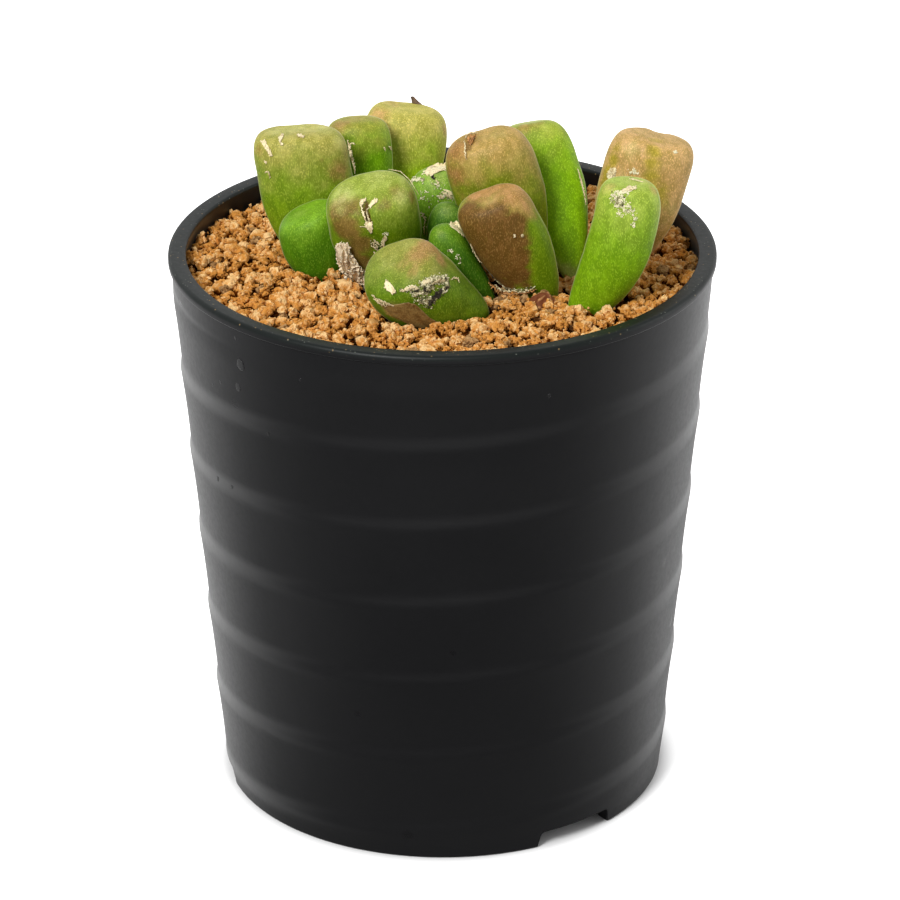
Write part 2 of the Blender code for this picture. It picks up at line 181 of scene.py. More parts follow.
WALL_ROOM = 0.45
CRUMB_WALL_ROOM = 0.4
WALL_OVERLAP = 0.72
HEAD_SEARCH = 6.0
HEAD_OVERLAP = 0.5
GREY_TINT = 0.08
FULL_SHADE_LEVEL = -1.0
SHADE_FREE_LEVEL = 0.8
SECTORS = 6
BATCH = 40

# Heads
HEAD_SUNK = 4.0
HEAD_LEVEL = 76.0
HEAD_BELLY = 0.62
HEAD_BASE_FULLNESS = 2.2
HEAD_TAPER_POWER = 1.5
HEAD_CLEFT_WIDTH = 0.12
HEAD_DIVISIONS = 36
HEAD_SWELLS = ((5.0, 0.16), (1.8, 0.035))
HEAD_CLEFT_FULL = 0.9
HEAD_SLOPE_FROM = 0.3
MARK_REACH = 1.35
CARVE_REACH = 3
CARVE_STAIN_WIDTH = 1.25
SPINE_STEPS = 80
SPINE_MARGIN = 1.5
SPINE_REACH = 1.15
LEAN_REACH = 1.2


@dataclass
class Head:
    """One conophytum head. Sizes in millimetres, leans in degrees towards +X and +Y."""

    x: float
    y: float
    height: float
    width: float
    thickness: float
    lean_low: tuple
    lean_high: tuple
    taper: float
    top_fullness: float
    slope: float = 0.0
    cleft: float = 0.0
    cleft_place: float = 0.0
    squareness: float = 2.3


HEADS = {
    "head_left_tall": Head(-16.6, 6.0, 17.4, 13.0, 8.2, (-14, 0), (-7, 0), 0.85, 5.6, -0.1),
    "head_left_small": Head(-16.4, -1.5, 9.1, 8.7, 7.4, (-20, -6), (-8, -6), 0.66, 4.4, 0.28),
    "head_back_green": Head(-11.7, 13.0, 15.8, 9.4, 7.0, (2, 2), (-2, 2), 0.7, 4.6),
    "head_back_twin": Head(
        -8.2, 20.5, 15.5, 12.0, 8.5, (22, 0), (5, 0), 0.6, 4.0, -0.07, 0.25, -1.2),
    "head_centre": Head(-8.8, -3.2, 15.4, 12.6, 9.6, (2, -12), (-14, -30), 0.57, 4.2, 0.09, 0.15),
    "head_mossy": Head(-0.5, 8.0, 11.0, 8.5, 7.0, (0, -5), (0, -5), 0.7, 2.6),
    "head_tiny": Head(0.8, -3.1, 10.2, 5.4, 4.0, (-3, 0), (0, 0), 0.7, 2.4),
    "head_leaning_small": Head(4.5, -9.4, 10.6, 5.6, 5.0, (-38, 0), (-16, 0), 0.7, 2.5),
    "head_front_low": Head(
        2.4, -16.5, 13.4, 11.6, 10.0, (-67, -20), (-24, -30), 0.68, 4.5, 0.1, 0.15),
    "head_brown_tall": Head(
        10.8, 1.2, 20.3, 12.5, 8.2, (-16, -8), (-16, -9), 0.57, 3.9, 0.02, 0.15),
    "head_brown_front": Head(
        13.0, -8.0, 15.7, 10.2, 7.8, (-29, -7), (-26, -9), 0.6, 4.9, -0.06, 0.15),
    "head_green_tall": Head(17.2, 2.0, 19.3, 9.0, 6.2, (-10, 34), (-24, 14), 0.5, 4.8, -0.26),
    "head_green_curved": Head(19.8, -13.2, 18.2, 8.8, 8.0, (34, 0), (0, 0), 0.8, 4.6, -0.08),
    "head_right_twin": Head(
        24.5, 2.0, 18.4, 11.8, 8.5, (14, 0), (16, 0), 0.52, 5.2, 0.06, 0.3, 0.6),
}


@dataclass
class Look:
    """Colours of a head, and the marks on it as (picture x, picture y, reach in mm, strength). Pale
    marks are partly pale skin and partly painted highlights and painted light on shaded flanks.
    """

    flank: tuple
    crown: tuple
    blush: tuple
    crown_from: float = 0.35
    crown_to: float = 1.0
    dust: float = 0.015
    blushes: list = field(default_factory=list)
    pales_and_highlights: list = field(default_factory=list)
    carves: list = field(default_factory=list)


LOOKS = {
    "head_left_tall": Look(
        (0.20, 0.33, 0.005), (0.50, 0.44, 0.12), (0.40, 0.24, 0.08), 0.45, 1.05,
        blushes=[(340, 172, 2.6, 0.7), (346, 150, 2.0, 0.4), (258, 150, 1.8, 0.45),
                 (322, 160, 0.5, 0.5), (303, 176, 0.6, 0.4), (300, 128, 3.0, 0.3)],
        pales_and_highlights=[(300, 127, 3.0, 1.0), (278, 131, 2.2, 0.8), (322, 128, 2.4, 0.9),
               (340, 140, 1.6, 0.5)],
        carves=[([(290, 127), (312, 128)], 1.0, 0.25, 0.0)]),
    "head_left_small": Look(
        (0.09, 0.25, 0.003), (0.22, 0.43, 0.02), (0.25, 0.22, 0.05), 0.35, 0.95,
        pales_and_highlights=[(300, 213, 1.6, 0.5)]),
    "head_back_green": Look(
        (0.20, 0.42, 0.003), (0.42, 0.38, 0.07), (0.45, 0.29, 0.11), 0.68, 1.08,
        blushes=[(340, 124, 2.2, 0.7), (352, 119, 2.2, 0.5)],
        pales_and_highlights=[(354, 131, 1.3, 0.35)]),
    "head_back_twin": Look(
        (0.38, 0.62, 0.010), (0.62, 0.54, 0.14), (0.66, 0.42, 0.17), 0.3, 0.95,
        blushes=[(378, 115, 2.4, 0.8), (384, 130, 2.0, 0.5), (445, 130, 1.5, 0.6),
                 (392, 104, 2.0, 0.5), (438, 108, 1.6, 0.5)],
        pales_and_highlights=[(412, 112, 2.2, 0.35)],
        carves=[([(393, 102), (389.5, 112), (390, 127)], 1.1, 0.35, 0.0)]),
    "head_centre": Look(
        (0.16, 0.28, 0.003), (0.34, 0.42, 0.06), (0.24, 0.15, 0.035), 0.5, 0.95,
        blushes=[(340, 210, 2.8, 1.0), (345, 228, 3.2, 1.0), (360, 244, 2.4, 1.0),
                 (352, 207, 2.2, 0.8), (396, 192, 1.9, 0.6), (412, 197, 1.6, 0.6),
                 (350, 255, 2.6, 1.0), (384, 204, 1.7, 0.6), (362, 262, 2.4, 1.0),
                 (372, 262, 2.0, 0.9)],
        pales_and_highlights=[(380, 176, 3.2, 0.7), (342, 196, 2.6, 1.0), (405, 180, 2.2, 0.6),
               (402, 197, 2.0, 0.8), (340, 208, 1.6, 0.8)],
        carves=[([(364.8, 203), (365.6, 210), (367.4, 217), (369, 222)], 0.34, 0.6, 0.9)]),
    "head_mossy": Look(
        (0.17, 0.40, 0.009), (0.28, 0.46, 0.06), (0.3, 0.3, 0.1), 0.4, 1.0, 0.05,
        pales_and_highlights=[(436, 178, 2.4, 0.6), (446, 198, 1.5, 0.4)]),
    "head_tiny": Look(
        (0.05, 0.17, 0.003), (0.15, 0.28, 0.035), (0.3, 0.3, 0.1), 0.62, 1.0,
        pales_and_highlights=[(446, 208, 1.4, 0.4)]),
    "head_leaning_small": Look(
        (0.055, 0.17, 0.002), (0.15, 0.31, 0.012), (0.3, 0.3, 0.1), 0.45, 1.0, 0.09,
        pales_and_highlights=[(440, 232, 1.4, 0.4)]),
    "head_front_low": Look(
        (0.14, 0.25, 0.006), (0.34, 0.34, 0.07), (0.46, 0.27, 0.11), 0.4, 0.95, 0.08,
        blushes=[(430, 246, 2.4, 1.0), (418, 254, 2.4, 0.8), (440, 258, 1.8, 0.8),
                 (404, 262, 2.0, 0.5), (414, 270, 1.8, 0.5), (396, 312, 2.4, 0.8),
                 (418, 320, 2.0, 0.7)],
        pales_and_highlights=[(388, 262, 2.0, 0.5), (406, 244, 2.0, 0.4)]),
    "head_brown_tall": Look(
        (0.24, 0.31, 0.008), (0.54, 0.35, 0.12), (0.44, 0.22, 0.08), 0.50, 0.95, 0.02,
        blushes=[(455, 150, 3.0, 0.8), (456, 175, 2.6, 0.7), (470, 140, 2.4, 0.6),
                 (545, 190, 1.5, 0.6), (462, 195, 2.0, 0.4)],
        pales_and_highlights=[(500, 135, 2.2, 0.4), (484, 155, 1.8, 0.25)],
        carves=[([(472, 137), (470, 142), (469, 148)], 0.45, 0.25, 0.5)]),
    "head_brown_front": Look(
        (0.21, 0.34, 0.004), (0.54, 0.29, 0.12), (0.20, 0.095, 0.022), 0.64, 0.97, 0.04,
        blushes=[(466, 222, 2.6, 1.5), (472, 236, 2.6, 1.5), (480, 254, 2.6, 1.5),
                 (490, 272, 2.4, 1.4), (468, 208, 2.0, 1.0), (500, 212, 2.4, 0.8),
                 (478, 215, 2.6, 0.8), (492, 225, 3.2, 1.3), (505, 240, 3.4, 1.4),
                 (490, 250, 2.6, 1.4), (513, 258, 3.0, 1.3), (517, 275, 2.4, 1.2),
                 (500, 270, 2.4, 1.3), (514, 225, 2.4, 1.2), (505, 284, 2.0, 1.2),
                 (526, 285, 1.4, 0.7), (524, 240, 1.8, 1.0)],
        pales_and_highlights=[(490, 200, 2.4, 0.4)]),
    "head_green_tall": Look(
        (0.28, 0.55, 0.002), (0.40, 0.48, 0.06), (0.44, 0.31, 0.09), 0.6, 1.05, 0.02,
        blushes=[(522, 128, 1.8, 0.8), (536, 124, 1.6, 0.5)],
        pales_and_highlights=[(542, 126, 2.0, 0.35), (562, 280, 2.6, 1.8), (556, 268, 2.0, 1.2)]),
    "head_green_curved": Look(
        (0.22, 0.42, 0.003), (0.44, 0.56, 0.09), (0.55, 0.44, 0.14), 0.45, 1.05, 0.02,
        blushes=[(654, 190, 1.2, 0.7), (608, 188, 1.6, 0.6), (648, 182, 1.2, 0.5)],
        pales_and_highlights=[(634, 180, 2.4, 0.8), (660, 210, 1.2, 0.6)]),
    "head_right_twin": Look(
        (0.60, 0.35, 0.12), (0.66, 0.41, 0.18), (0.51, 0.38, 0.055), 0.3, 0.9, 0.02,
        blushes=[(655, 140, 1.4, 0.6), (654, 152, 1.6, 0.8), (652, 164, 1.7, 0.8),
                 (651, 176, 1.7, 0.8), (650, 188, 1.7, 0.8), (616, 148, 1.3, 0.6),
                 (613, 160, 1.4, 0.8), (608, 174, 1.6, 1.0), (606, 188, 1.6, 1.0),
                 (604, 200, 1.4, 0.8), (662, 190, 1.6, 0.7), (664, 204, 1.6, 0.6)],
        pales_and_highlights=[(632, 150, 2.2, 0.5), (622, 178, 1.8, 0.4), (640, 132, 1.8, 0.3),
               (670, 208, 2.2, 0.5), (664, 222, 2.0, 0.4)],
        carves=[([(653, 129.5), (658, 132), (663, 132)], 0.3, 0.3, 0.6)]),
}


@dataclass
class Bits:
    """Dried bits on a head, placed over the picture.

    Strips are (picture points, width in mm, degrees they stand up). Flakes are rows of (picture
    height, left edge, right edge). Crusts are (picture points, spread in picture units, number of
    grains, tone from 0, dark, to 1, cream).
    """

    strips: list = field(default_factory=list)
    flakes: list = field(default_factory=list)
    rusty: list = field(default_factory=list)
    crusts: list = field(default_factory=list)


BITS = {
    "head_left_tall": Bits(
        strips=[([(346, 141), (347.5, 149), (348.5, 156), (352, 167), (353.5, 174)], 0.34, 55),
                ([(347, 145), (350, 143.5), (353.5, 145)], 0.45, 20),
                ([(265, 160), (267.5, 163)], 0.4, 10),
                ([(265.5, 172.5), (267.5, 170.8), (270, 173), (270.5, 178)], 0.26, 10)],
        flakes=[[(140.5, 261.5, 264.5), (144, 262.5, 267), (148, 264.5, 269.5), (152, 268, 271.5),
                 (156, 270.5, 273)],
                [(134.5, 281, 284), (137.5, 278.5, 282.5), (141, 279, 281), (144.5, 280, 283)],
                [(135.3, 296.5, 304), (137.6, 299, 303.8)]]),
    "head_back_green": Bits(
        strips=[([(383, 147), (385, 150.5)], 0.24, 0), ([(388, 146), (391, 150)], 0.28, 10)]),
    "head_centre": Bits(
        strips=[([(360.4, 203), (361.4, 207), (361.9, 211), (362.8, 215.5), (365.6, 222.5)],
                 0.26, 50),
                ([(369.7, 207.9), (368.4, 210.8), (369.3, 215), (371, 219.5), (371.6, 223.5)],
                 0.26, 55),
                ([(360, 225.8), (367, 226.3)], 0.16, 40),
                ([(373.4, 238.8), (376.5, 240.6), (379.8, 244.4)], 0.34, 25),
                ([(372.2, 241.4), (375.2, 243.4), (378, 247)], 0.34, 25),
                ([(371.3, 244.4), (374.2, 246.2), (377.2, 249)], 0.3, 25),
                ([(373.6, 251), (375.6, 253.2)], 0.34, 10),
                ([(388, 170), (400, 172.5), (409, 181), (417.5, 194.5)], 0.14, 20)],
        flakes=[[(198.3, 362, 365.6), (200.2, 360, 366.8), (203, 360, 363.6), (206, 360.4, 362)],
                [(199.3, 374.5, 377.6), (201.5, 371.5, 377.4), (204, 370, 374.6),
                 (207, 369, 371.5)],
                [(221.5, 366, 372), (224, 364.5, 373), (227, 365.5, 372.4), (230, 368.5, 372.4),
                 (233, 370.6, 372.2)],
                [(236, 384, 386.6), (239.5, 382, 386.4), (243, 381, 385), (246.7, 380.5, 383)]],
        crusts=[([(372, 242), (378, 249)], 2.0, 30, 0.4),
                ([(383, 234), (388, 233)], 1.6, 16, 1.0)]),
    "head_mossy": Bits(
        flakes=[[(163.5, 437, 445), (166.5, 431, 448), (169.5, 427, 447), (172.5, 425, 438),
                 (175.5, 426, 431)]],
        strips=[([(443, 189.5), (448, 191.5), (454, 196)], 0.34, 15),
                ([(441, 192), (447, 194.5), (452, 198.5)], 0.34, 15),
                ([(447.5, 190.5), (453, 194), (457.5, 200)], 0.34, 20),
                ([(439, 196), (444, 198)], 0.4, 10),
                ([(436.5, 180), (438.5, 184.5)], 0.26, 15),
                ([(422, 211), (425, 215.5), (426, 220)], 0.5, 30),
                ([(425.8, 219), (424.6, 226), (424.8, 234)], 0.2, 40),
                ([(427, 226), (430.5, 232), (428, 238)], 0.2, 35)],
        crusts=[([(426, 172), (434, 169.5), (447, 168)], 3.0, 420, 0.95),
                ([(410.5, 181), (417, 179), (423, 180)], 2.0, 190, 0.85),
                ([(432, 176.5), (434, 178.5)], 1.1, 40, 0.0),
                ([(438, 197), (446, 194), (456, 199)], 2.4, 130, 0.9),
                ([(434, 182), (440, 187)], 3.5, 50, 0.8),
                ([(416, 190), (430, 200)], 6.0, 40, 0.8)]),
    "head_leaning_small": Bits(
        flakes=[[(222.5, 450.5, 456), (225.5, 450, 461), (229, 453.5, 464.5), (233, 459, 467),
                 (237, 463, 466.5)]],
        crusts=[([(451, 225), (459, 227.5), (464.5, 234.5)], 2.2, 230, 0.9),
                ([(448, 250), (452, 251)], 1.0, 14, 1.0),
                ([(456, 254), (460, 262)], 1.6, 20, 1.0)]),
    "head_front_low": Bits(
        flakes=[[(281.3, 385.5, 388.3), (284.3, 384.2, 391.5), (287.5, 384.8, 393.6),
                 (290.5, 387.5, 395.4), (293.7, 391.5, 396)],
                [(279.5, 424, 429), (281.5, 422.5, 431), (283.5, 424, 428)]],
        strips=[([(400.5, 291.5), (407, 288), (411, 287)], 0.34, 20),
                ([(409, 288), (414, 286), (417.5, 289)], 0.55, 15),
                ([(373, 294.5), (379, 299), (386, 301.5), (394, 305)], 0.55, 15),
                ([(374.5, 298), (381, 302.5), (388, 305.5)], 0.45, 15),
                ([(450, 280), (453, 278), (457, 279), (458.5, 283)], 0.2, 25),
                ([(431, 284), (437, 280), (444, 281)], 0.4, 25)],
        crusts=[([(402, 290.5), (411, 288), (417, 288)], 1.6, 150, 0.7),
                ([(423, 283), (432, 280.5), (446, 278)], 3.0, 620, 0.68),
                ([(446, 279), (447.5, 286), (443, 291)], 2.4, 260, 0.55),
                ([(412, 293), (422, 292), (432, 287)], 3.8, 520, 0.4),
                ([(418, 301), (426, 299), (428, 305)], 3.4, 240, 0.45),
                ([(430, 303), (436, 296), (443, 290)], 2.6, 420, 0.0)]),
    "head_brown_tall": Bits(
        strips=[([(464.8, 142), (465.4, 150), (466.6, 159)], 0.30, 55),
                ([(465.5, 139), (467, 135.4), (472, 133.6), (477.5, 133.8)], 0.22, 30)],
        rusty=[([(471, 135), (472.5, 140), (470.5, 146)], 0.36, 40),
               ([(475.5, 135), (474, 141), (471.5, 146)], 0.3, 50),
               ([(468.5, 138), (469.5, 143)], 0.3, 30)]),
    "head_brown_front": Bits(
        strips=[([(513.5, 234), (515.5, 236.5)], 0.36, 15), ([(520.5, 236.5), (523, 234)], 0.4, 15),
                ([(471.3, 243), (474.5, 249), (478, 255.5), (482, 262)], 0.34, 30),
                ([(496, 283.5), (503, 288.5), (512, 290.5)], 0.4, 35),
                ([(512, 289), (522, 290.5), (533, 287.5)], 0.45, 35)],
        rusty=[([(490, 281), (500, 288), (511, 291), (524, 291), (536, 288)], 0.8, 30)],
        crusts=[([(493, 282), (501, 287), (512, 289.5), (526, 289.5), (536, 286.5)], 1.8, 150, 0.6),
                ([(488, 279), (498, 289), (516, 293), (534, 291)], 1.6, 240, 0.05)]),
    "head_green_tall": Bits(
        strips=[([(577, 169), (580.5, 182), (583.5, 195), (585, 205)], 0.2, 35)],
        crusts=[([(579, 176), (582, 187)], 0.5, 10, 0.0)]),
    "head_green_curved": Bits(
        strips=[([(629, 179.5), (636, 181), (643, 183)], 0.24, 10)],
        flakes=[[(187, 628, 636), (189, 623, 636), (191, 622, 630)]],
        crusts=[([(633, 188), (627, 191), (620, 193)], 2.0, 190, 1.15),
                ([(618, 193), (617, 199), (620, 204)], 4.6, 300, 0.75),
                ([(622, 205), (627, 208), (631, 210)], 3.6, 130, 1.0),
                ([(617, 213), (621, 215)], 2.6, 26, 1.1),
                ([(633, 216), (635, 219)], 2.6, 26, 1.1),
                ([(633, 224), (634, 227)], 1.6, 16, 1.2)]),
    "head_right_twin": Bits(
        flakes=[[(168.5, 611.5, 616.5), (171, 608.5, 617), (174, 608, 614.6), (177, 608.8, 613),
                 (179.7, 610, 612.4)]],
        crusts=[([(609.5, 176), (612, 173), (612, 177)], 2.6, 320, 1.5),
                ([(629, 173), (633, 171), (637, 173)], 1.8, 60, 1.3),
                ([(674, 151.5), (678, 152.5)], 0.9, 26, 0.9)]),
}

# Dried sheets as rows of (picture height, left edge, right edge)
SHEATH_UPPER_ROWS = (
    (242, 338.5, 349), (246, 337.2, 350.5), (251, 337.8, 350.8), (257, 338, 350), (262, 339, 349.5),
    (267, 341, 349), (272, 343.5, 348))
SHEATH_LOWER_ROWS = (
    (254, 349, 353), (260, 345, 357), (265, 343, 360), (270, 343, 362.5), (275, 345, 366),
    (280, 345.5, 368), (284, 348, 368), (288, 349.5, 366.5), (292, 351, 366))
SHEATH_FIBRES = (
    ([(341, 242), (343, 252), (342.5, 262), (345, 272)], 0.34),
    ([(346.5, 243), (347.5, 252), (346, 260), (349, 268)], 0.4),
    ([(350.5, 256), (353, 264), (352, 273), (354, 283)], 0.42),
    ([(355.5, 260), (358, 268), (360, 276), (359, 286)], 0.45),
    ([(361, 268), (365, 274), (364.5, 281), (366, 288)], 0.4),
    ([(346, 272), (350, 279), (352, 287), (351, 293)], 0.4),
    ([(347, 282), (354, 284), (362, 282), (367.5, 285)], 0.34),
    ([(348, 268), (353, 270), (360, 269)], 0.36),
    ([(356, 287), (358, 292), (357, 296)], 0.3),
    ([(363, 286), (366, 291), (369, 294)], 0.3))
FRONT_SKIN_COLUMNS = (
    (385, 303.5, 309), (390, 304.5, 313.5), (396, 304.5, 317), (402, 303.5, 321), (408, 302.5, 324),
    (414, 303.5, 327), (420, 308, 328), (426, 314.5, 329), (433, 320, 330), (440, 324, 330.5),
    (446, 327, 331))
PAPER_THICKNESS = 0.07
STRIP_SPACING = 0.7
STRIP_LINES = 4
STRIP_WANDER = 0.7
STRIP_LEAST_REACH = 0.15
STRIP_END_NARROWING = 0.75
FLAKE_COLUMNS = 14
FLAKE_LINES = 18
FLAKE_LIFT = 0.07
FLAKE_RAGGED = 1.6
FIBRE_STAND = 35

# Crusts: the picture's scale is in picture units to a millimetre
CRUST_SEED = 11
CRUST_SIZES = (0.04, 0.13)
CRUST_SMALLNESS = 1.8
CRUST_LIFTS = (0.1, 1.1)
CRUST_PATCHES = 0.9
CRUST_PATCH_SIZE = 0.5
CRUST_SPACING = 1.0
PICTURE_SCALE = 7.14

# Flower stub and shrivelled head
STUB_PLACE = (416.4, 103.6)
STUB_TIP = (-0.66, 0.1, 1.15)
STUB_RADIUS = 0.64
STUB_TIP_WIDTH = 0.42
STUB_FLATNESS = 0.5
STUB_NARROWING = 0.25
STUB_SUNK = 0.12
STUB_SEGMENTS = 20
STUB_RINGS = 12
STUB_SHARP_ANGLE = 50
SHRIVELLED_PLACE = (13.4, -13.7, 75.5)
SHRIVELLED_SIZE = (1.9, 1.2, 1.9)
SHRIVELLED_PLEATS = 4

# Dried drops on the pot as (picture x, picture y, radius in mm), and a drop's height and width
DROP_FLATNESS = 0.05
DROP_NARROWNESS = 0.85
WATER_MARKS = (
    (240.5, 365, 0.85), (238.0, 387, 0.6), (220.5, 382, 0.3), (235.5, 338, 0.3), (213, 385, 0.22),
    (218, 479, 0.35), (232, 486, 0.42), (268, 434, 0.3), (549, 396, 0.3), (300, 380, 0.2))

# Colours of the finishes
MOTTLE_GAIN = (1.25, 1.2, 1.2)
MOTTLE_YELLOW = (0.80, 0.76, 0.20)
MOTTLE_SHADE = (0.58, 0.62, 0.4)
# Pale that the pale marks mix into the skin, partly as a painted highlight
PALE_SKIN_AND_HIGHLIGHT = (0.72, 0.72, 0.30)
SCAR_BROWN = (0.13, 0.050, 0.012)
# Pale of the painted rim light at the skins' outlines
PAINTED_RIM_LIGHT = (0.80, 0.76, 0.46)
SKIN_DUST = (0.78, 0.70, 0.42)
PLASTIC_TONES = ((0.0045, 0.0046, 0.0052), (0.0075, 0.0075, 0.0082))
SPOT_BLACK = (0.0035, 0.0035, 0.004)
SCUFF_GREY = (0.05, 0.05, 0.052)
POT_DUST = (0.16, 0.15, 0.13)
RIM_BLACK = (0.0035, 0.0060, 0.0052)
GRIT_TONES = ((1.4, (0.34, 0.22, 0.09)), (1.9, (0.22, 0.24, 0.20)))
# Grey of the painted sheen on the pot's wall
PAINTED_SHEEN_GREY = (0.30, 0.30, 0.30)
DROP_TONES = ((0.004, 0.004, 0.0045), (0.009, 0.009, 0.0095))
# Clay tones as (dark, body, light): the dark is painted shade for gaps and hollows, the light a
# painted highlight; the bed's tones are darker still as painted shade between the granules
GRANULE_TONES = ((0.095, 0.020, 0.001), (0.70, 0.30, 0.062), (1.0, 0.66, 0.30))
BED_TONES = ((0.06, 0.015, 0.001), (0.20, 0.07, 0.012), (0.34, 0.14, 0.03))
GREY_CLAY_TONES = ((0.07, 0.03, 0.01), (0.42, 0.27, 0.13))
CRUST_BLACK = (0.02, 0.014, 0.006)
CRUST_GREY = (0.30, 0.27, 0.12)
CRUST_CREAM = (0.86, 0.80, 0.54)
DEAD_HEAD_TONES = ((0.15, 0.042, 0.012), (0.52, 0.27, 0.10))
CREAM_PAPER = ((0.90, 0.77, 0.47), (0.34, 0.23, 0.08))
RUSTY_PAPER = ((0.62, 0.30, 0.09), (0.20, 0.07, 0.015))
LEAF_PAPER = ((0.95, 0.83, 0.60), (0.36, 0.22, 0.10))
FRONT_SKIN_PAPER = ((0.27, 0.18, 0.055), (0.13, 0.065, 0.012))
FLOWER_PAPER = ((0.16, 0.09, 0.05), (0.035, 0.018, 0.012))

# Stage: lamps as (name, place in metres, size, watts)
LAMPS = (
    ("key", (-0.40, -0.72, 0.74), 0.36, 10.0),
    ("side", (0.95, 0.15, 0.22), 0.7, 2.6))
LAMP_TARGET = (0, 0, 0.08)
FLOOR_RADIUS = 4.0
WHITE = (1.0, 1.0, 1.0)
BLACK = (0.0, 0.0, 0.0)
FLOOR_GREY = (0.8, 0.8, 0.8)


def clamped(value, low=0.0, high=1.0):
    """A value kept between two others."""
    return min(max(value, low), high)


def smooth_step(low, high, value):
    """Rises smoothly from 0 at low to 1 at high."""
    share = clamped((value - low) / (high - low))
    return share * share * (3 - 2 * share)


def mixed(first, second, share):
    """Part of the way from one number to another."""
    return first + (second - first) * share


def soft_noise(point, size, seed=0.0):
    """Smooth noise from -1 to 1 whose lumps are about this size."""
    return noise.noise(point / size + Vector((seed * 7.3, seed * 3.1, seed * 5.7)))


def mesh_of(shape, name):
    """Turns a shape into a mesh and frees the shape."""
    mesh = bpy.data.meshes.new(name)
    shape.to_mesh(mesh)
    shape.free()
    return mesh


def put(name, data):
    """A new object in the scene."""
    thing = bpy.data.objects.new(name, data)
    bpy.context.scene.collection.objects.link(thing)
    return thing


# Camera

def camera_axes():
    """The camera's right, up and forward directions."""
    yaw = radians(CAMERA_YAW)
    pitch = radians(CAMERA_PITCH)
    roll = radians(CAMERA_ROLL)
    forward = Vector((sin(yaw) * cos(pitch), cos(yaw) * cos(pitch), -sin(pitch)))
    level_right = Vector((cos(yaw), -sin(yaw), 0.0))
    level_up = level_right.cross(forward)
    right = level_right * cos(roll) + level_up * sin(roll)
    up = level_up * cos(roll) - level_right * sin(roll)
    return right, up, forward


def sight_line(picture_x, picture_y):
    """Direction from the camera through a point of the picture."""
    right, up, forward = camera_axes()
    middle = PICTURE_SIZE / 2
    sideways = (picture_x - middle) / FOCAL_PIXELS
    upwards = (middle - picture_y) / FOCAL_PIXELS
    return (forward + right * sideways + up * upwards).normalized()


def place_camera():
    """The camera at the photograph's viewing angle."""
    data = bpy.data.cameras.new("camera")
    data.sensor_width = SENSOR_WIDTH
    data.lens = FOCAL_PIXELS / PICTURE_SIZE * SENSOR_WIDTH
    data.clip_start = 0.01
    data.clip_end = 20.0
    camera = put("camera", data)
    right, up, forward = camera_axes()
    turn = Matrix((right, up, -forward)).transposed()
    camera.matrix_world = Matrix.Translation(CAMERA_PLACE * MM) @ turn.to_4x4()
    bpy.context.scene.camera = camera


# Node helpers

